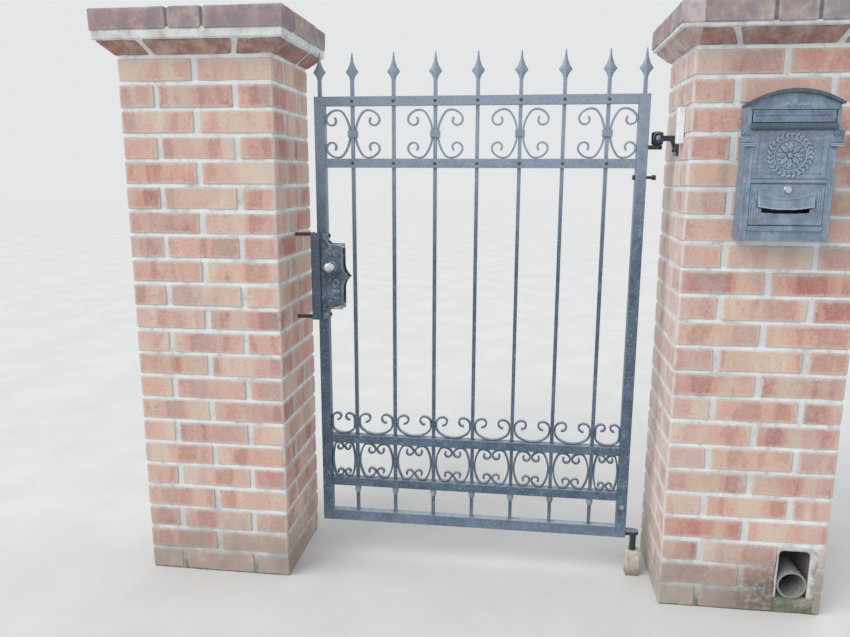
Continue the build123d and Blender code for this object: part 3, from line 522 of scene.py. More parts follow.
def painted_iron(name, face, light, dark, grain=7.0, depth=0.0006, rough=0.42, sky_lit_tone=None):
    """Forged and rolled iron under thick brushed paint: uneven, with pale dust on what faces up."""
    made, add = start_material(name)
    place = add("place")
    cloud = add("noise", place, per_mm(45), 5.0, 0.65)
    colour = add("mix", add("step", cloud, 0.35, 0.7), dark, face)
    if sky_lit_tone:
        # Painted light: the upper half of the leaf is lightened as if the sky lit it more, and below 0.25 m
        # its foot is a little lighter too
        height = add("z", place)
        painted_sky_light = add("sum", add("step", height, 1.05, 1.6), add("times", add("step", height, 0.25, 0.15), 0.3))
        colour = add("mix", add("times", painted_sky_light, add("sum", cloud, 0.55)), colour, sky_lit_tone)
    # Paint is thin and worn pale on the high spots of the hammered face
    dent = add("noise", place, per_mm(grain), 4.0, 0.6, 0.4)
    colour = add("mix", add("times", add("step", dent, 0.53, 0.7), 0.55), colour, light)
    colour = add("mix", add("times", add("step", dent, 0.45, 0.32), 0.4), colour, dark)
    upward = add("step", add("z", add("facing")), 0.3, 0.9)
    dust = add("times", upward, add("step", add("noise", place, per_mm(18), 4.0, 0.6), 0.2, 0.55))
    colour = add("mix", add("times", dust, 0.85), colour, light)
    finish_material(add, colour, add("range", cloud, 0.3, 0.7, rough - 0.08, rough + 0.12), dent, depth, 0.9)
    return made


def cast_pewter_paint(name, low, high, rim_tone, hollow):
    """Cast metal under pewter lacquer: sand-cast grain, pale where it is rubbed, dark in its hollows."""
    made, add = start_material(name)
    place = add("place")
    cloud = add("noise", place, per_mm(34), 5.0, 0.65)
    colour = add("mix", add("step", cloud, 0.3, 0.7), low, high)
    # Rubbed is 1 on the crests of the carving, -1 in its hollows and 0 on plain castings
    rubbed = add("attribute", attribute_name="rubbed")
    colour = add("mix", add("times", add("step", rubbed, 0.06, 1.0), 0.7), colour, rim_tone)
    colour = add("mix", add("step", rubbed, -0.05, -0.8), colour, hollow)
    # Chalky dust lies in blotches where rain dries
    dust = add("step", add("noise", place, per_mm(13), 6.0, 0.75), 0.5, 0.7)
    colour = add("mix", add("times", dust, 0.4), colour, rim_tone)
    grain = add("sum", add("noise", place, per_mm(2.2), 3.0, 0.6), add("noise", place, per_mm(9), 3.0, 0.5))
    finish_material(add, colour, 0.52, grain, 0.0008, 0.85, metallic=0.1)
    return made


def polished_steel():
    """Turned and polished steel, handled every day: bright and scratched, with a painted dark reflection on
    its underside.
    """
    made, add = start_material("polished_steel")
    place = add("place")
    stain = add("noise", place, per_mm(8), 5.0, 0.7)
    colour = add("mix", add("step", stain, 0.45, 0.75), srgb("dde3ea"), srgb("a3adb7"))
    # Painted reflection: surfaces that face down are darkened as if they mirrored the dark ground below
    upward = add("z", add("facing"))
    dark_reflection = add("step", add("sum", upward, add("times", stain, 0.7)), 0.45, -0.05)
    colour = add("mix", add("times", dark_reflection, 0.85), colour, srgb("56606b"))
    rough = add("range", add("noise", place, per_mm(3), 4.0, 0.6), 0.0, 1.0, 0.12, 0.34)
    finish_material(add, colour, rough, add("noise", place, per_mm(2), 4.0, 0.6), 0.0001, 0.5, metallic=1.0)
    return made


def moulded_pvc():
    """White moulded PVC, faintly yellowed and dusty, with a fine orange-peel skin."""
    made, add = start_material("moulded_pvc")
    place = add("place")
    dirt = add("step", add("noise", place, per_mm(30), 5.0, 0.65), 0.45, 0.8)
    colour = add("mix", dirt, srgb("e9eff2"), srgb("cdd0ce"))
    finish_material(add, colour, 0.45, add("noise", place, per_mm(1.5), 2.0, 0.5), 0.0001, 0.5)
    return made


def fired_clay_pipe():
    """Salt-stained clay pipe, darkened with silt inside and rubbed pale at its rim."""
    made, add = start_material("fired_clay_pipe")
    place = add("place")
    silt = add("noise", place, per_mm(12), 5.0, 0.65)
    colour = add("mix", add("step", silt, 0.35, 0.65), srgb("7b7e84"), srgb("9b9b95"))
    # The rim is the 3 mm of the pipe that are nearest to the street
    rim = add("step", add("sum", add("y", place), add("times", silt, 0.004)), -0.184, -0.187)
    colour = add("mix", add("times", rim, 0.8), colour, srgb("8d887b"))
    finish_material(add, colour, 0.9, silt, 0.0012, 0.8)
    return made


def sawn_limestone():
    """Small sawn block of pale limestone, pitted and damp at its foot."""
    made, add = start_material("sawn_limestone")
    place = add("place")
    cloud = add("step", add("noise", place, per_mm(14), 5.0, 0.65), 0.35, 0.65)
    colour = add("mix", cloud, srgb("b5ad9a"), srgb("d8d2c2"))
    colour = add("mix", add("step", add("z", place), 0.05, 0.0), colour, srgb("86806f"))
    finish_material(add, colour, 0.9, add("noise", place, per_mm(2.5), 4.0, 0.7), 0.0008, 0.9)
    return made


# Name, main tone, pale tone and dark tone of each painted or bare iron, then its grain in
# millimetres, the depth of its dents in metres and its roughness
IRON_FINISHES = {
    "black_iron": ("black_painted_iron", "hinge_paint", "75808e", "1d2026", 5.0, 0.0004, 0.3),
    "plate_iron": ("hammered_iron_plate", "64768a", "c3cfd9", "384554", 7.0, 0.0026, 0.32),
    "dark_iron": ("rivet_iron", "495466", "738091", "323b49", 4.0, 0.0003, 0.4),
    "worn_iron": ("rubbed_iron", "98a5b3", "d3dade", "6d7a88", 3.0, 0.0006, 0.3),
    "rusty_iron": ("rusted_iron_bar", "6d5450", "94766d", "453836", 4.0, 0.0008, 0.8),
}
# Name of each lacquer, its two cloud tones, and its tones on crests and in hollows
LACQUERS = {
    "postbox": ("cast_pewter_paint", "shade", "lacquer", "b0bcc8", "465261"),
    # Painted shade: the hood's lacquer, also laid on the sill, is a darker copy of the case's lacquer for
    # their shaded fronts
    "postbox_hood": ("weathered_pewter_paint", "424e5b", "586573", "7a8796", "28313c"),
    # Painted shade: the flap's lacquer is a darker copy of the case's lacquer for the shadow that the hood
    # casts on it
    "postbox_flap": ("sheltered_pewter_paint", "5f7186", "7d8fa4", "9dabbb", "38434f"),
}
PLAIN_FINISHES = {
    "brick": fired_clay_brick,
    "mortar": lime_mortar,
    "cement": drain_cement,
    "steel": polished_steel,
    "pvc": moulded_pvc,
    "clay_pipe": fired_clay_pipe,
    "limestone": sawn_limestone,
}
MATERIALS = {}


def chosen_tone(settings, code):
    """Linear colour of a hex value, or of the setting of that name."""
    return tuple(getattr(settings, code)) if hasattr(settings, code) else srgb(code)


def material(name):
    """The object's material of that name, made at its first use."""
    if name in MATERIALS:
        return MATERIALS[name]
    iron, box = bpy.context.scene.gate_ironwork, bpy.context.scene.gate_post_box
    if name == "leaf_iron":
        # The leaf's paint takes painted light: a lighter tone towards its top and at its foot
        made = painted_iron("painted_wrought_iron", tuple(iron.paint), srgb("a0aebd"), srgb("435465"),
                            sky_lit_tone=srgb("8c9aab"))
    elif name in IRON_FINISHES:
        title, face, light, dark, grain, depth, rough = IRON_FINISHES[name]
        made = painted_iron(title, chosen_tone(iron, face), srgb(light), srgb(dark), grain, depth, rough)
    elif name in LACQUERS:
        title, *tones = LACQUERS[name]
        made = cast_pewter_paint(title, *(chosen_tone(box, code) for code in tones))
    else:
        made = PLAIN_FINISHES[name]()
    MATERIALS[name] = made
    return made


def dress_node(node, name, edge=0.0):
    """Give a CAD node its material and, where edge is above 0, rounded edges of that radius."""
    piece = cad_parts[node]
    piece.data.materials.clear()
    piece.data.materials.append(material(name))
    if edge > 0:
        weld = piece.modifiers.new("merge_facets", "WELD")
        weld.merge_threshold = 0.01 * MM
        bevel = piece.modifiers.new("rolled_edges", "BEVEL")
        bevel.width = edge
        bevel.segments = 2
        bevel.limit_method = "ANGLE"
        bevel.angle_limit = math.radians(50)


# Brick piers

def brick_reach(height):
    """How far the splayed bricks stand out past the shaft at a height."""
    return np.interp(height, (SHAFT_TOP, SPLAY_TOP), (0, BED_REACH - 4 * MM))


def mortar_reach(height, side, recess):
    """How far the mortar stands out past the shaft: set back in joints, and flush in the cap's thick bed."""
    bed = PIERS[side]["bed"]
    under = SPLAY_TOP - 2 * MM
    flush = BED_REACH - 0.3 * MM
    return np.interp(height, (SHAFT_TOP, under, SPLAY_TOP, bed - 0.5 * MM, bed + 0.5 * MM),
                     (-recess, brick_reach(under) - 1.6 * recess, flush, flush, CAP_REACH - 2 * recess))


def course_layout(settings, odd):
    """Visible bricks of one shaft course as (x, y, half x, half y) from the pier's centre.

    One long side shows two stretchers and the other a stretcher between two headers.
    The next course is the same one turned round.
    """
    hx, hy = PIER_SIZE.x / 2, PIER_SIZE.y / 2
    joint, header = settings.upright_joint, settings.header
    long_half = (2 * hx - joint) / 4
    side_half = (2 * hy - header - joint) / 2
    middle_half = (2 * hx - 2 * header - 2 * joint) / 2
    bricks = [
        (-hx + long_half, -hy + header / 2, long_half, header / 2),
        (hx - long_half, -hy + header / 2, long_half, header / 2),
        (-hx + header / 2, hy - side_half, header / 2, side_half),
        (hx - header / 2, hy - side_half, header / 2, side_half),
        (0, hy - header / 2, middle_half, header / 2),
    ]
    turn = 1 if odd else -1
    return [(x * turn, y * turn, a, b) for x, y, a, b in bricks]


def cap_layout(settings):
    """Bricks of the cap course: three along each long side, one in each end and three across the middle."""
    hx, hy = PIER_SIZE.x / 2 + CAP_REACH, PIER_SIZE.y / 2 + CAP_REACH
    joint, header = settings.upright_joint * 0.6, settings.header
    long_half = (2 * hx - 2 * joint - header * 0.9) / 4
    end_half = (2 * hy - 2 * header - 2 * joint) / 2
    core = 2 * hx - 2 * header - 2 * joint
    core_half = (core - 2 * joint) / 6
    bricks = [(0, side * (hy - header / 2), header * 0.45, header / 2) for side in (-1, 1)]
    bricks += [(side * (hx - long_half), way * (hy - header / 2), long_half, header / 2)
               for side in (-1, 1) for way in (-1, 1)]
    bricks += [(side * (hx - header / 2), 0, header / 2, end_half) for side in (-1, 1)]
    bricks += [(step * (2 * core_half + joint), 0, core_half, end_half) for step in (-1, 0, 1)]
    return bricks


def cut_for_drain(bricks, level, hole):
    """Shorten or drop the front bricks of a course that the drain hole crosses."""
    low_x, high_x, low_z, high_z = hole
    crossed, shortest = 50 * MM, 18 * MM
    if level + crossed <= low_z or level >= high_z:
        return bricks
    kept = []
    for x, y, a, b in bricks:
        if y > 0 or x + a < low_x or x - a > high_x:
            kept.append((x, y, a, b))
            continue
        for left, right in ((x - a, min(x + a, low_x)), (max(x - a, high_x), x + a)):
            if right - left > shortest:
                kept.append(((left + right) / 2, y, (right - left) / 2, b))
    return kept


def brick_shells(bricks, rng, wear):
    """Worn bricks: a rectangle with cut corners carried up from bed to bed, drawn in at both beds.

    Every point is pulled inwards by a random field, and the rings at the beds move up and down
    a little, so that no edge is straight. Returns points, faces and each brick's attributes:
    its tone, its soot, and each point's place from the brick's middle beside its half size.
    """
    outline = rounded_outline(3, 2)
    columns = outline.shape[1]
    data = np.array(bricks)
    x, y, z, hx, hy, hz, soot = (data[:, k, None, None] for k in range(7))
    count = len(data)
    corner = rng.uniform(2.2, 4.0, (count, 1, 1)) * MM
    end = np.array([-1, -1, 0, 1, 1])[None, :, None]
    drawn = np.array([1, 0, 0, 0, 1])[None, :, None]
    rows = end.shape[1]
    a, b, c, d = (outline[k][None, None, :] for k in range(4))
    px = a * (hx - drawn * corner) + b * corner
    py = c * (hy - drawn * corner) + d * corner
    pz = end * (hz - corner * (1 - drawn) - rng.uniform(0, 1, px.shape) * wear)
    points = np.stack([px, py, pz], -1)
    half = np.stack(np.broadcast_arrays(hx, hy, hz), -1)
    # Each brick takes its dents and chips from a place of its own in the random fields
    own = points + rng.uniform(-5, 5, (count, 1, 1, 3))
    dents = 0.4 * MM * np.abs(ripple(own, 90 * MM, rng))
    chips = wear * np.clip(ripple(own, 50 * MM, rng) - 1.2, 0, 1) * np.abs(end)
    inward = np.stack([px / hx, py / hy, np.zeros_like(px)], -1)
    inward = inward * (np.abs(inward) > 0.8)
    points = points - inward * (dents + chips)[..., None]
    place = points.copy()
    # Bricks lean by about 2 mm in a metre along their length
    skew = rng.normal(0, 0.0022, (count, 1, 1))
    along = np.where(hx > hy, points[..., 0], -points[..., 1])
    points[..., 2] += along * skew
    points += np.stack([x, y, z], -1)
    one = np.array(shell_faces(rows, columns, capped=False))
    first = np.arange(count)[:, None] * rows * columns
    faces = (one[None] + first[:, :, None]).reshape(-1, 4).tolist()
    faces += (first + np.arange(columns)[::-1]).tolist()
    faces += (first + (rows - 1) * columns + np.arange(columns)).tolist()
    shape = points.shape
    values = {
        "brick_tone": np.broadcast_to(rng.random((count, 1, 1)), shape[:3]),
        "soot": np.broadcast_to(soot, shape[:3]),
        "brick_place": place,
        "brick_half": np.broadcast_to(half, shape),
    }
    return points, faces, values


def lay_bricks(settings, side, hole):
    """Bricks of one pier, course by course, each placed a little out of true."""
    rng = np.random.default_rng(41 if side == "left" else 87)
    course, joint = settings.course, settings.joint
    foot_joint = 2.5 * MM
    shaft_half = (course - joint) / 2
    splay_half = (SPLAY_TOP - SHAFT_TOP - foot_joint - 1.5 * MM) / 2
    # The cap's bricks hang down over their bed a little
    cap_foot = SPLAY_TOP + (PIERS[side]["bed"] - SPLAY_TOP) * 0.75
    cap_half = (PIERS[side]["top"] - cap_foot - 0.5 * MM) / 2
    count = round(SHAFT_TOP / course)
    # Foot, half height and soot of each course: none on the shaft, half on the splay, all on the cap
    beds = [(k * course + foot_joint, shaft_half, 0.0) for k in range(count)]
    beds += [(SHAFT_TOP + foot_joint, splay_half, 0.5), (cap_foot, cap_half, 1.0)]
    rows = []
    for k, (foot, half, soot) in enumerate(beds):
        layout = cap_layout(settings) if soot == 1 else course_layout(settings, k % 2 == 1)
        if hole:
            layout = cut_for_drain(layout, foot, hole)
        spare = CAP_REACH if soot == 1 else 0
        for x, y, a, b in layout:
            shrink = rng.uniform(-1, 3, 2) * MM
            shift = rng.uniform(-1, 1, 3) * MM * (1, 1, 0.25 if soot else 1)
            a, b = a - shrink[0] / 2, b - shrink[1] / 2
            in_x, in_y = PIER_SIZE.x / 2 + spare, PIER_SIZE.y / 2 + spare
            x = float(np.clip(x + shift[0], -in_x + a, in_x - a))
            y = float(np.clip(y + shift[1], -in_y + b, in_y - b))
            rows.append((x, y, foot + half + shift[2], a, b, half - abs(shift[2]) / 2, soot))
    points, faces, values = brick_shells(rows, rng, settings.wear)
    # The splayed course widens: its plan is scaled up by the reach at each height
    reach = np.where(values["soot"] == 0.5, brick_reach(points[..., 2]), 0)
    points[..., 0] *= 1 + reach / (PIER_SIZE.x / 2)
    points[..., 1] *= 1 + reach / (PIER_SIZE.y / 2)
    points[..., 0] += PIERS[side]["centre"]
    return add_piece(side + "_pier_bricks", points, faces, material("brick"), "root",
                     smooth=False, values=values)


def mortar_levels(course, side, hole):
    """Heights of the mortar's rings: six close ones at each bed joint, more in the crown and at the hole."""
    # The mortar ends 7 mm under the cap's top, and a bed joint's middle lies 1.5 mm under its course
    bed, top = PIERS[side]["bed"], PIERS[side]["top"] - 7 * MM
    count = round(SHAFT_TOP / course)
    offsets = np.array([-11, -5.5, -2.5, 1, 4, 10]) * MM
    joints = (np.arange(1, count + 1)[:, None] * course - 1.5 * MM + offsets).ravel()
    crown = [SPLAY_TOP - 16 * MM, SPLAY_TOP - 2 * MM, SPLAY_TOP, SPLAY_TOP + 3 * MM,
             (SPLAY_TOP + bed) / 2, bed - 3 * MM, bed - 0.5 * MM, bed + 0.5 * MM,
             top - 20 * MM, top - 5 * MM, top]
    mouth = [hole[2] - 1 * MM, hole[2], hole[3], hole[3] + 1 * MM] if hole else []
    return np.unique(np.round(np.concatenate([[0, 6 * MM, 20 * MM], joints, crown, mouth]), 6))


def fill_joints(settings, side, hole):
    """Mortar of one pier: the pier's outline carried up, set back behind the bricks.

    The set-back is the joint's recess plus a random field, the rings are close together
    only across the bed joints, and the hole of the drain is pushed in as a deep pocket.
    """
    rng = np.random.default_rng(5 if side == "left" else 6)
    bed, course = PIERS[side]["bed"], settings.course
    level = mortar_levels(course, side, hole)[:, None]
    outline = rounded_outline(54, 4)
    corner = 5 * MM
    if hole:
        # The two columns nearest to each side of the hole go to its edge, and keep their order
        shaft = PIER_SIZE.x / 2 - settings.recess
        in_front = np.abs(outline[2] + 1) + np.abs(outline[3]) < 1e-6
        column_x = np.where(in_front, outline[0] * shaft + outline[1] * corner, np.inf)
        for edge in hole[:2]:
            pair = np.argsort(np.abs(column_x - edge))[:2]
            pair = pair[np.argsort(column_x[pair])]
            outline[0, pair] = (edge + np.array([-0.5, 0.5]) * MM) / shaft
            outline[1, pair] = 0
    a, b, c, d = (outline[k][None, :] for k in range(4))
    reach = mortar_reach(level, side, settings.recess)
    hx = PIER_SIZE.x / 2 + reach
    hy = PIER_SIZE.y / 2 + reach
    px = a * hx + b * corner
    py = c * hy + d * corner
    pz = np.broadcast_to(level, px.shape)
    points = np.stack([px, py, pz], -1)
    set_back = 0.6 * np.abs(ripple(points, 50 * MM, rng))
    set_back = (set_back + 0.4 * np.abs(ripple(points, 13 * MM, rng))) * MM
    way_x = np.sign(px) * (np.abs(px) > hx - corner)
    way_y = np.sign(py) * (np.abs(py) > hy - corner)
    away = np.stack([way_x, way_y, np.zeros_like(px)], -1)
    away = away / np.maximum(np.linalg.norm(away, axis=-1, keepdims=True), 1)
    points = points - away * set_back[..., None]
    if hole:
        pocket_depth, slack = 128 * MM, 0.1 * MM
        inside = (px > hole[0]) & (px < hole[1]) & (py < 0)
        inside &= (pz > hole[2] - slack) & (pz < hole[3] + slack)
        points[..., 1] = np.where(inside, -PIER_SIZE.y / 2 + pocket_depth, points[..., 1])
    # Skim of mortar over the cap: rings drawn in to the middle and raised a little
    rings = [points]
    last = points[-1:]
    for share, lift in ((0.96, 2), (0.8, 3), (0.45, 3.5), (0.1, 3.5)):
        ring = last.copy()
        ring[..., :2] *= share
        ring[..., 2] += lift * MM - 0.6 * MM * np.abs(ripple(ring, 60 * MM, rng))
        rings.append(ring)
    points = np.concatenate(rings)
    height = points[..., 2]
    from_bed = np.abs((height + 1.5 * MM + course / 2) % course - course / 2)
    upright = np.clip((from_bed - 5 * MM) / (3 * MM), 0, 1) * (height < SPLAY_TOP - 4 * MM)
    soot = np.where(height > bed, 1.0, np.where(height > SPLAY_TOP - 1 * MM, 0.13, 0.0))
    points[..., 0] += PIERS[side]["centre"]
    faces = shell_faces(points.shape[0], points.shape[1])
    piece = add_piece(side + "_pier_mortar", points, faces, material("mortar"), "root",
                      values={"upright": upright, "soot": soot})
    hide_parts(side + "_pier", side + "_splay_course", side + "_cap_course")
    return piece


def drain_hole():
    """Hole in the right pier round the drain: its bounds in X from the pier's centre and in Z."""
    low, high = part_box("drain_pipe")
    centre = PIERS["right"]["centre"]
    return low.x - 2 * MM - centre, high.x + 2 * MM - centre, low.z - 1 * MM, DRAIN_HEAD + 2 * MM


def line_drain():
    """Cement round the drain: an arched opening, its front trowelled flat and its walls carried in.

    The opening has upright sides and a top with round corners. Outer and inner outline share their
    points, and the sheet runs from the outer one over the front and in to the back of the hole.
    """
    rng = np.random.default_rng(12)
    low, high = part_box("drain_pipe")
    left, right, foot, head = low.x - 1 * MM, high.x + 1 * MM, low.z, DRAIN_HEAD
    turn = np.linspace(0, np.pi / 2, 7)
    bend = 15 * MM
    rise = np.linspace(foot, head - bend, 16)[:-1]
    arch_x = np.concatenate([np.full(15, right), right - bend + bend * np.cos(turn),
                             np.linspace(right - bend, left + bend, 8)[1:-1],
                             left + bend - bend * np.sin(turn), np.full(15, left)])
    arch_z = np.concatenate([rise, head - bend + bend * np.sin(turn), np.full(6, head),
                             head - bend + bend * np.cos(turn), rise[::-1]])
    centre_x, centre_z = (left + right) / 2, (foot + head) / 2
    side_x = arch_x - centre_x
    # More cement was thrown on at the right of the opening than at its left
    margin = np.where(side_x > 0, 24, 6) * MM * np.clip(np.abs(side_x) / (right - centre_x), 0.3, 1)
    margin = margin * (1 + 0.25 * ripple(np.stack([arch_x, arch_z, arch_x], -1), 50 * MM, rng))
    out_x = arch_x + np.sign(side_x) * margin
    out_z = arch_z + np.clip((arch_z - centre_z) / (head - centre_z), 0, 1) ** 3 * 10 * MM
    face = -PIER_SIZE.y / 2
    # X, depth behind the pier's face in millimetres, and Z of each ring
    rings = [(out_x, 3, out_z), (out_x, 0.6, out_z), (arch_x, 0.6, arch_z),
             (arch_x, 3, arch_z), (arch_x, 40, arch_z), (arch_x, 124, arch_z)]
    points = np.stack([np.stack([x, np.full_like(x, face + depth * MM), z], -1) for x, depth, z in rings])
    back = points[-1:].copy()
    back[..., 0] = centre_x + (back[..., 0] - centre_x) * 0.02
    back[..., 2] = foot + (back[..., 2] - foot) * 0.02
    points = np.concatenate([points, back])
    points[:, :, 1] += 0.5 * MM * np.abs(ripple(points, 20 * MM, rng))
    # Painted shade kept in the silt value: 0 on the front, 0.15 at the opening's edge, 0.7 at 3 mm in and 1
    # from 40 mm in
    silt = np.broadcast_to(np.array([0, 0, 0.15, 0.7, 1, 1, 1])[:, None], points.shape[:2])
    faces = grid_quads(len(points), points.shape[1], False)
    piece = add_piece("drain_lining", points, faces.tolist(), material("cement"), "root",
                      values={"silt": silt})
    wall = piece.modifiers.new("cement_wall", "SOLIDIFY")
    wall.thickness = 2 * MM
    wall.offset = -1
    return piece


class GATE_OT_brick_piers(bpy.types.Operator):
    """Lay the bricks of both piers and fill their joints"""

    bl_idname = "gate.brick_piers"
    bl_label = "Brick Piers"

    def execute(self, context):
        settings = context.scene.gate_brickwork
        hole = drain_hole()
        # The bricks stay clear of the cement that lines the hole
        margin = (hole[0] - 6 * MM, hole[1] + 22 * MM, hole[2] - 12 * MM, hole[3] + 4 * MM)
        for side in ("left", "right"):
            lay_bricks(settings, side, margin if side == "right" else None)
            fill_joints(settings, side, hole if side == "right" else None)
        return {"FINISHED"}


class GATE_OT_drain(bpy.types.Operator):
    """Line the drain with cement, and finish its pipe"""

    bl_idname = "gate.drain"
    bl_label = "Drain"

    def execute(self, context):
        line_drain()
        dress_node("drain_pipe", "clay_pipe")
        return {"FINISHED"}


# Ironwork

def stud_rails(settings):
    """Rivet heads where the bars cross the two upper rails, and turned knots under the lower rail."""
    low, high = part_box("frieze_collars")
    # Seven bars stand 139 mm apart, the fourth in the middle
    middle, half_run = (low.x + high.x) / 2, 3 * 139 * MM
    bars = np.linspace(middle - half_run, middle + half_run, 7)
    r = settings.rivet / MM
    head = ((r, 0), (r * 0.95, 1.2), (r * 0.7, 2.4), (r * 0.3, 3.0), (0.1, 3.1))
    for name, way in FACES:
        places = []
        for rail in ("top_rail", "frieze_rail"):
            low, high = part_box(rail)
            face = low.y if way < 0 else high.y
            places += [(x, face, (low.z + high.z) / 2) for x in bars]
        points, faces = turned(head, places, (0, way, 0), 12)
        add_piece("rivets_" + name, points, faces, material("dark_iron"), "leaf")
    knot_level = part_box("lower_rail")[0].z - 13 * MM
    knot = ((6.0, -14), (8.6, -12), (11.0, -6), (11.6, 0), (11.0, 5), (8.8, 10), (6.2, 12))
    points, faces = turned(knot, [(x, 0, knot_level) for x in bars], (0, 0, 1), 14)
    add_piece("bar_knots", points, faces, material("worn_iron"), "leaf")


def plate_rim(inset):
    """Line just inside the lock plate's edge: finial, shoulder, corner, ear and back, top to bottom, in mm.

    The finial's flank and the ear's two flanks are hollow, drawn as parabolas between their ends.
    """
    low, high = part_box("lock_plates")
    left, tip = low.x / MM, high.x / MM
    right, middle = tip - 22, (low.z + high.z) / 2 / MM
    t = np.linspace(0, 1, 13)[:, None]
    half = 115 - inset
    side = right - inset
    upper = []
    for start, through, end in (
        ((left + 7, 155), (left + 14, 122), (left + 30, half)),
        ((left + 31, half), (right - 20, half), (side, half)),
        ((side, half - 1), (side, 80), (side, 40)),
        ((side, 39), (side + 2, 12), (tip - 2 * inset, 0)),
    ):
        start, through, end = (np.array(spot, float) + (0, middle) for spot in (start, through, end))
        upper.append((1 - t) ** 2 * start + 2 * t * (1 - t) * through + t ** 2 * end)
    upper = np.concatenate(upper)
    lower = upper[::-1] * (1, -1) + (0, 2 * middle)
    return np.concatenate([upper, lower[1:]])


# Curls on the lock plates: X, height over the plate's middle, first turn, size and way, in millimetres
CURLS = (
    (-1060, -62, 0.5, 15, 1), (-1047, -84, 3.4, 11, -1), (-1072, -92, 2.2, 10, 1),
    (-1050, 82, 4.2, 12, -1), (-1074, 88, 0.9, 10, 1),
)
# Studs on the lock plates: X and height over the plate's middle, in millimetres
STUDS = ((-1098, 104), (-1098, -104), (-1037, 106), (-1037, -106), (-1016, 0), (-1096, 134), (-1096, -134))
# Points along each raised line
LINE_POINTS = 105


def plate_lines(middle):
    """X, Z, half width and lift of the raised lines on a lock plate, line by line, in millimetres.

    Two rims follow the plate's edge. A curl is a spiral whose radius falls to 1.2 as its width
    dwindles, an oval ring goes round the keyhole, and a coil of two turns lies on each end.
    """
    share = np.linspace(0, 1, LINE_POINTS)
    spin = 2 * np.pi * share
    lines = []
    for inset, width, lift in ((3.2, 1.9, 1.8), (7.5, 1.1, 1.2)):
        rim = plate_rim(inset)
        stretch = share * (len(rim) - 1)
        x, z = (np.interp(stretch, np.arange(len(rim)), rim[:, k]) for k in (0, 1))
        lines.append((x, z, width, lift))
    for centre_x, rise, first, size, way in CURLS:
        heading = first + way * share * 3.6 * np.pi
        radius = size * (1 - share) ** 0.8 + 1.2
        x, z = centre_x + radius * np.cos(heading), middle + rise + radius * np.sin(heading)
        lines.append((x, z, 1.9 * np.clip(1.1 - share, 0.35, 1), 1.8))
    lines.append((-1055 + 8 * np.cos(spin), middle - 22 + 11 * np.sin(spin), 2.6, 2.2))
    radius = 7.4 - 3 * share
    for rise in (-139, 139):
        x, z = -1091.5 + radius * np.cos(2 * spin), middle + rise + radius * np.sin(2 * spin)
        lines.append((x, z, 2.4, 1.8))
    return np.moveaxis(np.array([np.broadcast_arrays(*line) for line in lines]), 1, 0)


def dress_lock():
    """Raised lines, studs and the knobs' roses on both lock plates."""
    low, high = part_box("lock_plates")
    middle = (low.z + high.z) / 2 / MM
    x, z, width, lift = plate_lines(middle)
    stud = ((3.4, 0), (3.2, 0.9), (2.1, 1.9), (0.1, 2.3))
    rose = ((8, 0), (19, 0), (20, 1.2), (18.6, 2.6), (15, 2.0), (13.4, 3.4), (11, 4.4), (8, 4.6))
    knob_x, knob_z = -1069 * MM, 1083 * MM
    for name, way in FACES:
        face = low.y if way < 0 else high.y
        paths = np.stack([x * MM, np.full(x.shape, face), z * MM], -1)
        relief = beads(paths, width * MM, -way * lift * MM, 8)
        spots = [(stud_x * MM, face, (middle + rise) * MM) for stud_x, rise in STUDS]
        for title, (points, faces) in (
            ("plate_relief_", relief),
            ("plate_studs_", turned(stud, spots, (0, way, 0), 12)),
            ("knob_rose_", turned(rose, [(knob_x, face, knob_z)], (0, way, 0), 40)),
        ):
            add_piece(title + name, points, faces, material("worn_iron"), "leaf")


def dress_hinge():
    """Boss on the bracket's eye, bolts of its wall plate, and rings round the stile's lower bolt hole."""
    eye = (0, -17.6 * MM, 1512.5 * MM)
    boss = ((2, 0), (16.5, 0), (17.8, 1.6), (16.8, 4.6), (13.6, 6.2), (10.4, 5.0), (9.2, 3.0), (0.2, 2.8))
    nut = ((8.6, 2.4), (8.3, 5.6), (6.2, 7.2), (3.0, 8.2), (0.1, 8.4))
    bolt = ((6.2, 0), (6.2, 3.2), (5.2, 4.2), (0.1, 4.4))
    wall_plate = [(52 * MM, y * MM, 1475.5 * MM) for y in (-34, 4)]
    for name, profile, places, axis, around, finish in (
        ("hinge_boss", boss, [eye], (0, -1, 0), 28, "black_iron"),
        ("hinge_boss_pin", nut, [eye], (0, -1, 0), 20, "worn_iron"),
        ("wall_plate_bolts", bolt, wall_plate, (-1, 0, 0), 6, "black_iron"),
    ):
        points, faces = turned(profile, places, axis, around)
        add_piece(name, points, faces, material(finish), "root")
    low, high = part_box("hinge_stile")
    ring = ((3.6, -0.3), (7.6, -0.3), (8.2, 0.8), (7.0, 1.8), (4.8, 1.6), (3.6, 0.6), (0.1, 0.2))
    hole_level = 254 * MM
    for name, way in FACES:
        face = low.y if way < 0 else high.y
        points, faces = turned(ring, [((low.x + high.x) / 2, face, hole_level)], (0, way, 0), 20)
        add_piece("bolt_ring_" + name, points, faces, material("worn_iron"), "leaf")


class GATE_OT_leaf_paint(bpy.types.Operator):
    """Paint the leaf's stiles, rails, bars and scrolls, and round their edges"""

    bl_idname = "gate.leaf_paint"
    bl_label = "Leaf Paint"

    def execute(self, context):
        edge = context.scene.gate_ironwork.edge
        for node in ("hinge_stile", "latch_stile", "top_rail", "frieze_rail", "dado_rail", "lower_rail",
                     "bottom_rail", "frieze_collars"):
            dress_node(node, "leaf_iron", edge)
        for node in ("spear_bars", "stile_spears", "frieze_scrolls", "dado_scrolls", "cresting_scrolls"):
            dress_node(node, "leaf_iron", edge * 0.6)
        return {"FINISHED"}


class GATE_OT_rivets(bpy.types.Operator):
    """Set the rivets on the upper rails and the knots under the lower one"""

    bl_idname = "gate.rivets"
    bl_label = "Rivets and Knots"

    def execute(self, context):
        stud_rails(context.scene.gate_ironwork)
        return {"FINISHED"}


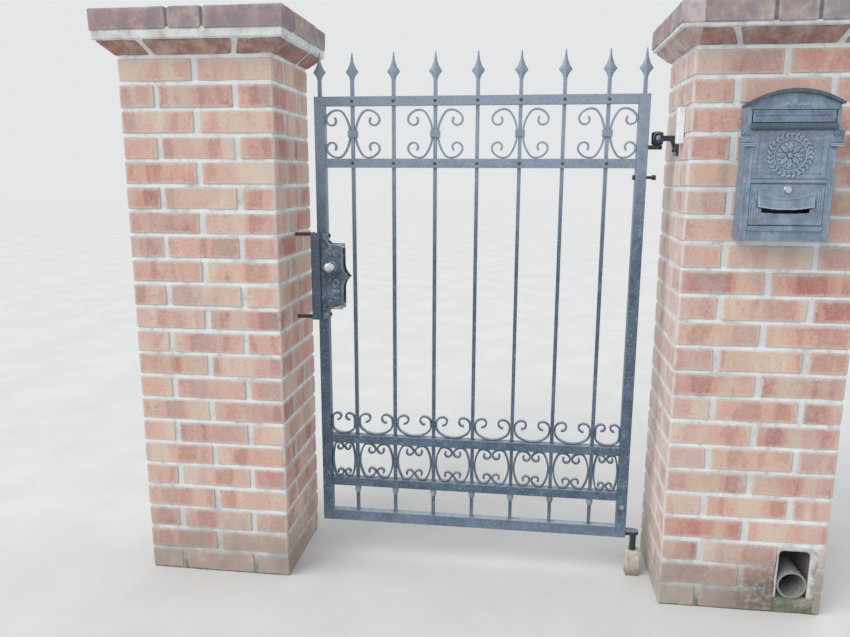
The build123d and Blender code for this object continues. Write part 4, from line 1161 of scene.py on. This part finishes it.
class GATE_OT_lock(bpy.types.Operator):
    """Finish the lock, its plates and knobs and the keeper that it shuts against"""

    bl_idname = "gate.lock"
    bl_label = "Lock and Keeper"

    def execute(self, context):
        edge = context.scene.gate_ironwork.edge
        for node in ("lock_case", "keeper_angle"):
            dress_node(node, "leaf_iron", edge)
        dress_node("keeper_bars", "rusty_iron", edge * 0.6)
        dress_node("lock_plates", "plate_iron", edge * 0.6)
        dress_node("latch_tongue", "steel", edge * 0.5)
        dress_node("latch_knobs", "steel")
        dress_lock()
        return {"FINISHED"}


class GATE_OT_hinge(bpy.types.Operator):
    """Paint the hinge and the bolts, add the boss and the rings, and finish the pivot's stone"""

    bl_idname = "gate.hinge"
    bl_label = "Hinge"

    def execute(self, context):
        for node in ("hinge_bracket", "hinge_ear", "pivot_ear", "stile_bolt"):
            dress_node(node, "black_iron", context.scene.gate_ironwork.edge * 0.6)
        dress_node("pivot_stone", "limestone")
        dress_hinge()
        return {"FINISHED"}


# Post box

def uneven(across, level, size, seed):
    """Random unevenness of a casting, the same for a seed each time."""
    return ripple(np.stack([across, level, np.zeros_like(across)], -1), size, np.random.default_rng(seed))


def add_casting(name, x, z, height, plane, back, body, finish, spacing, keep=None, rubbing=1.0):
    """Plate with carved heights over a plane, its lacquer rubbed where it stands over its surroundings.

    The plane and the back count in millimetres towards the street, and rubbing weakens what is rubbed.
    """
    points, faces, used = cast_slab(x * MM, z * MM, -(plane + height) * MM, -back * MM, keep)
    rubbed = np.tile((rubbed_heights(height, spacing) * rubbing).ravel(), 2)[used]
    return add_piece(name, points, faces, material(finish), body, values={"rubbed": rubbed})


def carve_panel():
    """Crest panel: a sunken field with a sloped border, and on it a wreath round a rope and a rosette.

    Rings are heights over the distance from the wreath's middle, and the leaves, petals and
    the rope's strands repeat round it.
    """
    low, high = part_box("postbox_panel")
    medal_low, medal_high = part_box("postbox_medallion")
    middle_x, middle_z = (medal_low.x + medal_high.x) / 2 / MM, (medal_low.z + medal_high.z) / 2 / MM
    x = np.linspace(low.x, high.x, 161) / MM
    z = np.linspace(low.z, high.z, 118) / MM
    grid_x, grid_z = np.meshgrid(x, z)
    waist = low.z / MM + 10
    edge = np.minimum(np.minimum(grid_x - x[0], x[-1] - grid_x), np.minimum(grid_z - waist, z[-1] - grid_z))
    height = 0.5 + 3.0 * np.clip((17 - edge) / 9, 0, 1) + 0.8 * np.exp(-((edge - 20) / 1.3) ** 2)
    away_x, away_z = grid_x - middle_x, grid_z - middle_z
    radius, around = np.hypot(away_x, away_z), np.arctan2(away_z, away_x)
    carved = np.zeros_like(height)
    # Rings of leaves: how many, radius, first turn in steps, tilt, length, width and height
    for count, ring, first, tilt, length, width, lift in (
        (26, 56.5, 0, 0.5, 17, 8.5, 3.0),
        (26, 49.5, 0, -0.5, 15, 7.5, 2.6),
        (8, 22, 0, np.pi / 2, 29, 13.5, 3.2),
        (8, 29, 0.5, np.pi / 2, 17, 8.0, 2.2),
        (16, 39.5, 0, np.pi / 2, 6, 4.0, 1.2),
    ):
        for k in range(count):
            spot = 2 * np.pi * (k + first) / count + np.pi / 2
            leaf_x, leaf_z = middle_x + ring * math.cos(spot), middle_z + ring * math.sin(spot)
            leaf = leaf_relief(grid_x, grid_z, leaf_x, leaf_z, spot + np.pi / 2 + tilt, length, width)
            carved = np.maximum(carved, leaf * lift)
    # A rope of 34 strands runs round the rosette, whose hub is a dome with a dimple
    strand = 0.75 + 0.25 * np.cos(around * 34 + radius * 1.4)
    rope = 2.8 * np.sqrt(np.clip(1 - ((radius - 43.5) / 2.4) ** 2, 0, 1)) * strand
    hub = 3.8 * np.sqrt(np.clip(1 - (radius / 7.5) ** 2, 0, 1)) - 1.2 * np.exp(-(radius / 2.2) ** 2)
    carved = np.maximum(np.maximum(carved, rope), hub)
    height += carved * np.clip((66 - radius) / 3, 0, 1) - 0.7 * np.clip((42 - radius) / 2, 0, 1)
    # The waist under the panel is a round moulding with a groove over it
    moulding = 4.5 + 4.4 * np.sqrt(np.clip(1 - ((grid_z - waist + 4.6) / 5.4) ** 2, 0, 1))
    height = np.where(grid_z < waist, moulding, height)
    height = np.clip(height + 0.12 * uneven(grid_x, grid_z, 14, 31), 0, 9)
    # Where the field is lowest the casting is 1.8 mm thick
    back = -high.y / MM
    piece = add_casting("postbox_crest_panel", x, z, height, back + 1.8, back, "root", "postbox", 1.1,
                        rubbing=np.where(grid_z < waist + 2, 0.3, 1))
    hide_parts("postbox_panel", "postbox_medallion")
    return piece


def lip_level(across):
    """Height of the lip over the viewing slot, a parabola across the emptying door."""
    return 1303 + 7 * (across / 70) ** 2


def sill_level(across):
    """Height of the viewing slot's lower edge, a flatter parabola."""
    return 1292.5 + 3 * (across / 70) ** 2


def carve_door():
    """Emptying door: fluted sides, a hanging swag ridge, and under it a lip that juts over the viewing slot.

    The swag is a parabola over the distance from the door's middle, as the lip is, and the
    surface between them leans out from the swag to the lip.
    """
    low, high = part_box("postbox_door")
    lock_low, lock_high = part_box("postbox_lock")
    middle, lock_z = (low.x + high.x) / 2 / MM, (lock_low.z + lock_high.z) / 2 / MM
    half_width, foot, head = 98.7, 1260, 1374.6
    u = np.linspace(-half_width, half_width, 151)
    z = np.linspace(foot, head, 89)
    across, level = np.meshgrid(u, z)
    out = np.abs(across)
    swag, lip = lock_z - 26 + 18 * (across / 75) ** 2, lip_level(across)
    edge = np.minimum(half_width - out, np.minimum(level - foot, head - level))
    # The field is sunk 1 mm inside a border of 4 mm, and flutes run down both sides every 5.3 mm
    height = -1.0 * np.clip((edge - 4) / 2, 0, 1)
    flutes = np.clip((out - 78) / 2, 0, 1) * np.clip((94 - out) / 2, 0, 1) * np.clip((edge - 5) / 3, 0, 1)
    height += flutes * (0.6 + 0.9 * np.cos(2 * np.pi * (out - 78) / 5.3))
    # Between the flutes the door leans out by 8.6 mm from the swag's ridge to the lip
    inside = np.clip((78 - out) / 5, 0, 1)
    lean = np.clip((swag - level) / np.maximum(swag - lip, 1), 0, 1)
    height += inside * np.where(level < lip, 0, 8.6 * lean ** 1.2)
    height += 1.9 * np.exp(-((level - swag) / 3.2) ** 2) * inside
    # A rib runs down each side from the swag, and a shallow dish lies under the slot
    height += 1.2 * np.exp(-((out - 74) / 1.6) ** 2) * (level < swag) * (level > 1272)
    dish = np.clip((level - 1268) / 6, 0, 1) * np.clip((sill_level(across) - level) / 8, 0, 1) * inside
    height -= 1.1 * dish
    # The lock sits on a low disc of 15 mm radius
    from_lock = np.hypot(across, level - lock_z)
    height = np.where(from_lock < 15, 0.9 * np.clip((15 - from_lock) / 2.5, 0, 1) - 0.4, height)
    # A bead lies along the foot, and nothing stands out below it, where the door turns on its rod
    height += 0.8 * np.exp(-((level - 1265.5) / 1.2) ** 2) * np.clip((94 - out) / 3, 0, 1)
    height += 0.12 * uneven(across, level, 13, 32)
    height = np.where(level < 1264, np.minimum(height, 0), height)
    cell_u, cell_z = np.meshgrid((u[1:] + u[:-1]) / 2, (z[1:] + z[:-1]) / 2)
    slot = (cell_z < lip_level(cell_u) - 0.5) & (cell_z > sill_level(cell_u)) & (np.abs(cell_u) < 64)
    piece = add_casting("postbox_carved_door", middle + u, z, height, BOX_FRONT, BOX_FRONT - 6,
                        "emptying_door", "postbox", 1.5, keep=~slot)
    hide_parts("postbox_door")
    return piece


def carve_flap():
    """Letter flap: a plate that leans out towards its foot, with a bead round it and a groove across."""
    low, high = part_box("postbox_flap")
    middle = (low.x + high.x) / 2 / MM
    half_width, foot, head, groove = 108, 1542.6, 1575.4, 1560
    u = np.linspace(-half_width, half_width, 139)
    z = np.linspace(foot, head, 28)
    across, level = np.meshgrid(u, z)
    edge = np.minimum(half_width - np.abs(across), np.minimum(level - foot, head - level))
    height = 0.6 + 0.9 * (head - level) / 33 + 0.9 * np.exp(-((edge - 2.2) / 1.4) ** 2)
    height -= 1.0 * np.exp(-((level - groove) / 1.3) ** 2) * np.clip((edge - 6) / 3, 0, 1)
    height += 0.1 * uneven(across, level, 13, 33)
    # The flap's darker lacquer paints the hood's shadow on it
    piece = add_casting("postbox_letter_flap", middle + u, z, height, BOX_FRONT - 2.6, BOX_FRONT - 5,
                        "letter_flap", "postbox_flap", 0.8)
    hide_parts("postbox_flap")
    return piece


def carve_pilasters():
    """Pilasters beside the panel and door: a bead down each edge, and a leafy capital with two volutes.

    The capital's leaf bulges out to its head, three ribs are cut in it, and a volute is a
    dome with a ring sunk in it at each of its upper corners. A plain block carries it.
    """
    low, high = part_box("postbox_pilasters")
    foot, head = low.z / MM, high.z / MM
    width, block_foot, block_head, leaf_foot = 34, head - 44, head - 36, head - 32
    z = np.concatenate([np.linspace(foot, head - 46, 60), np.linspace(head - 45.4, head, 52)])
    for name, outer_x, inward_way in (("left", low.x / MM, 1), ("right", high.x / MM, -1)):
        inner_x = outer_x + inward_way * width
        x = np.linspace(min(outer_x, inner_x), max(outer_x, inner_x), 52)
        across, level = np.meshgrid(x, z)
        inward = np.abs(across - outer_x)
        # Two beads run down the shaft, and the capital stands about an axis 14 mm from its outer side
        shaft = 0.2 + 1.3 * np.exp(-((inward - 16.5) / 1.5) ** 2)
        shaft += 1.3 * np.exp(-((inward - 31.5) / 1.5) ** 2)
        from_axis = inward - 14
        rise = np.clip((level - leaf_foot) / (head - leaf_foot), 0, 1)
        ribs = 0.55 + 0.45 * np.cos(from_axis * 2 * np.pi / 7)
        flare = 7.5 + 6 * rise ** 1.5
        leaf = (2.0 + 4.5 * rise ** 1.5) * np.clip((flare - np.abs(from_axis)) / 1.5, 0, 1)
        leaf *= 0.55 + 0.45 * ribs
        for sign in (-1, 1):
            spot = np.hypot(from_axis - sign * 7.6, level - (head - 8.5))
            volute = 9.8 * np.clip((6.6 - spot) / 1.5, 0, 1) ** 0.5 - 5.5 * np.exp(-((spot - 3.3) / 0.9) ** 2)
            leaf = np.maximum(leaf, volute)
        block = 9.2 - 1.5 * np.exp(-((level - (head - 40)) / 1.0) ** 2)
        height = np.where(level > leaf_foot, leaf, np.where(level > block_head, 0.2, block))
        height = np.clip(np.where(level < block_foot, shaft, height), 0, 9.9)
        cell_x, cell_z = np.meshgrid((x[1:] + x[:-1]) / 2, (z[1:] + z[:-1]) / 2)
        # The shaft is narrower than the capital on its outer side
        keep = (cell_z > block_foot) | (np.abs(cell_x - outer_x) > 14)
        piece = add_casting("postbox_pilaster_" + name, x, z, height, BOX_FRONT, -high.y / MM, "root",
                            "postbox", 2.6, keep=keep)
        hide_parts("postbox_pilasters")


def cast_ornaments():
    """Sprays of cast leaves on the tympanum and under the sill, and the turned rose of the lock."""
    low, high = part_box("postbox_tympanum")
    middle = (low.x + high.x) / 2 / MM
    spray = [(middle, 1587, 90, 22, 13, 3.4, 0)]
    spray += [(middle, 1586, 90 - side * 32, 19, 10, 2.8, side * 10) for side in (1, -1)]
    for side in (-1, 1):
        for start, heading, length in (
            (3, 14, 22), (9, 42, 18), (14, 30, 19), (16, -8, 18), (24, 24, 19), (27, -14, 16),
        ):
            lean = heading if side == 1 else 180 - heading
            spray.append((middle + side * start, 1587.5 + start * 0.08, lean, length, 9.0, 2.8, side * 24))
    hanging = []
    for centre in (-86, -30, 30, 86):
        for turn in (-62, -32, 0, 32, 62):
            length = 12 if turn == 0 else 14
            hanging.append((middle + centre, 1522, -90 + turn, length, 5.5, 3.0, turn * 0.4))
    for name, leaves, rise in (("tympanum_spray", spray, 5.9), ("sill_leaves", hanging, 4.6)):
        points, faces = leaf_beads(leaves, high.y - rise * MM)
        add_piece(name, points, faces, material("postbox"), "root",
                  values={"rubbed": np.full(points.shape[:3], 0.4)})
    lock_low, lock_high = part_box("postbox_lock")
    centre = ((lock_low.x + lock_high.x) / 2, -BOX_FRONT * MM, (lock_low.z + lock_high.z) / 2)
    rose = ((7.0, 0.2), (10.4, 0.2), (11.0, 1.0), (10.6, 2.4), (9.6, 3.0), (8.6, 2.6), (7.0, 2.4))
    points, faces = turned(rose, [centre], (0, -1, 0), 40)
    add_piece("lock_rose", points, faces, material("steel"), "emptying_door")


class GATE_OT_post_box_panel(bpy.types.Operator):
    """Carve the post box's crest panel"""

    bl_idname = "gate.post_box_panel"
    bl_label = "Post Box Panel"

    def execute(self, context):
        carve_panel()
        return {"FINISHED"}


class GATE_OT_post_box_doors(bpy.types.Operator):
    """Carve the emptying door and the letter flap"""

    bl_idname = "gate.post_box_doors"
    bl_label = "Post Box Doors"

    def execute(self, context):
        carve_door()
        carve_flap()
        return {"FINISHED"}


class GATE_OT_post_box_pilasters(bpy.types.Operator):
    """Carve the two pilasters with their capitals"""

    bl_idname = "gate.post_box_pilasters"
    bl_label = "Post Box Pilasters"

    def execute(self, context):
        carve_pilasters()
        return {"FINISHED"}


class GATE_OT_post_box_ornaments(bpy.types.Operator):
    """Cast the post box's sprays of leaves and turn the rose of its lock"""

    bl_idname = "gate.post_box_ornaments"
    bl_label = "Post Box Ornaments"

    def execute(self, context):
        cast_ornaments()
        return {"FINISHED"}


class GATE_OT_post_box_case(bpy.types.Operator):
    """Lacquer the case of the post box, and finish its lock"""

    bl_idname = "gate.post_box_case"
    bl_label = "Post Box Case"

    def execute(self, context):
        edge = context.scene.gate_post_box.edge
        for node in ("postbox_back", "postbox_sides", "postbox_floor", "postbox_tympanum",
                     "postbox_jambs", "postbox_base"):
            dress_node(node, "postbox", edge)
        # Hood and sill take the darker lacquer that paints their shade
        for node in ("postbox_hood", "postbox_sill"):
            dress_node(node, "postbox_hood", edge)
        dress_node("postbox_lock", "steel")
        return {"FINISHED"}


class GATE_OT_plastic_box(bpy.types.Operator):
    """Finish the small plastic box beside the hinge"""

    bl_idname = "gate.plastic_box"
    bl_label = "Plastic Box"

    def execute(self, context):
        dress_node("bell_box", "pvc", 1.5 * MM)
        return {"FINISHED"}


# Stage

def make_floor(colour):
    """Round pale floor at ground level, wide enough to reach the horizon's haze."""
    around = 96
    turn = np.linspace(0, 2 * np.pi, around, endpoint=False)
    ring = np.stack([np.cos(turn), np.sin(turn), np.zeros(around)], -1)
    points = np.stack([ring * radius for radius in (40.0, 8.0, 2.0)])
    made, add = start_material("pale_plaster_floor")
    cloud = add("step", add("noise", add("place"), per_mm(400), 4.0, 0.6), 0.3, 0.7)
    finish_material(add, add("mix", cloud, srgb("d2d2d0"), colour), 0.9)
    faces = shell_faces(3, around, capped=False) + [(2 * around + np.arange(around)).tolist()]
    piece = add_piece("floor", points, faces, made, "root")


def light_studio(studio):
    """Even sky from all sides, a far soft lamp high over the street and a weaker one over the garden."""
    world = bpy.data.worlds.new("studio_sky")
    bpy.context.scene.world = world
    world.use_nodes = True
    world.node_tree.nodes.clear()
    add = partial(add_node, world.node_tree)
    # The camera and reflections see a plain pale sky, however strong the sky's light is
    seen = add("greater", add("camera ray"), add("glossy ray"))
    lit, shown = add("sky", srgb("f2f5fa"), studio.sky), add("sky", srgb("eceeef"), 0.93)
    add("world", add("either sky", seen, lit, shown))
    for name, strength, spread, towards in (
        ("street_lamp", studio.key, 50, (0.68, 0.50, -0.70)),
        ("garden_lamp", studio.fill, 70, (-0.45, -0.55, -0.70)),
    ):
        lamp = bpy.data.lights.new(name, "SUN")
        lamp.energy = strength
        lamp.angle = math.radians(spread)
        holder = bpy.data.objects.new(name, lamp)
        bpy.context.scene.collection.objects.link(holder)
        holder.rotation_euler = Vector(towards).to_track_quat("-Z", "Y").to_euler()


def place_camera(scene):
    """Camera at the photograph's place: yaw to the left, pitch down and a little roll, in that order."""
    yaw, pitch, roll = 0.1308, 0.1939, 0.0031
    place = (-0.4161, -2.5038, 1.4019)
    focal_pixels, frame_width, sensor = 740.5, 850.0, 36.0
    turn_z, turn_x = Matrix.Rotation(-yaw, 3, "Z"), Matrix.Rotation(pitch, 3, "X")
    right, ahead, up = Matrix.Rotation(roll, 3, "Y") @ turn_x @ turn_z
    lens = bpy.data.cameras.new("street_camera")
    lens.sensor_width = sensor
    lens.lens = focal_pixels / frame_width * sensor
    camera = bpy.data.objects.new("street_camera", lens)
    scene.collection.objects.link(camera)
    axes = Matrix((right, up, -ahead)).transposed().to_4x4()
    camera.matrix_world = Matrix.Translation(place) @ axes
    scene.camera = camera
    scene.view_settings.view_transform = "Standard"


class GATE_OT_stage(bpy.types.Operator):
    """Set the pale floor, the soft light and the camera"""

    bl_idname = "gate.stage"
    bl_label = "Stage"

    def execute(self, context):
        studio = context.scene.gate_studio
        make_floor(tuple(studio.floor))
        light_studio(studio)
        place_camera(context.scene)
        return {"FINISHED"}


# Panel and order of work

class GATE_PT_panel(bpy.types.Panel):
    """Lists the steps that dress the gate"""

    bl_idname = "GATE_PT_panel"
    bl_label = "Garden Gate"
    bl_space_type = "VIEW_3D"
    bl_region_type = "UI"
    bl_category = "Gate"

    def draw(self, context):
        for step in STEPS:
            self.layout.operator(step.bl_idname)


STEPS = (
    GATE_OT_brick_piers,
    GATE_OT_drain,
    GATE_OT_leaf_paint,
    GATE_OT_rivets,
    GATE_OT_lock,
    GATE_OT_hinge,
    GATE_OT_post_box_panel,
    GATE_OT_post_box_doors,
    GATE_OT_post_box_pilasters,
    GATE_OT_post_box_ornaments,
    GATE_OT_post_box_case,
    GATE_OT_plastic_box,
    GATE_OT_stage,
)
SETTINGS = {
    "gate_brickwork": BrickworkSettings,
    "gate_ironwork": IronworkSettings,
    "gate_post_box": PostBoxSettings,
    "gate_studio": StudioSettings,
}


def register():
    """Register the settings, the steps and the panel."""
    for key, group in SETTINGS.items():
        bpy.utils.register_class(group)
        setattr(bpy.types.Scene, key, bpy.props.PointerProperty(type=group))
    for made in (*STEPS, GATE_PT_panel):
        bpy.utils.register_class(made)


def unregister():
    """Take the panel, the steps and the settings away again."""
    for made in (GATE_PT_panel, *reversed(STEPS)):
        bpy.utils.unregister_class(made)
    for key, group in SETTINGS.items():
        delattr(bpy.types.Scene, key)
        bpy.utils.unregister_class(group)


def main():
    """Dress the whole gate."""
    register()
    for step in STEPS:
        group, name = step.bl_idname.split(".")
        getattr(getattr(bpy.ops, group), name)()


if __name__ == "__main__":
    main()
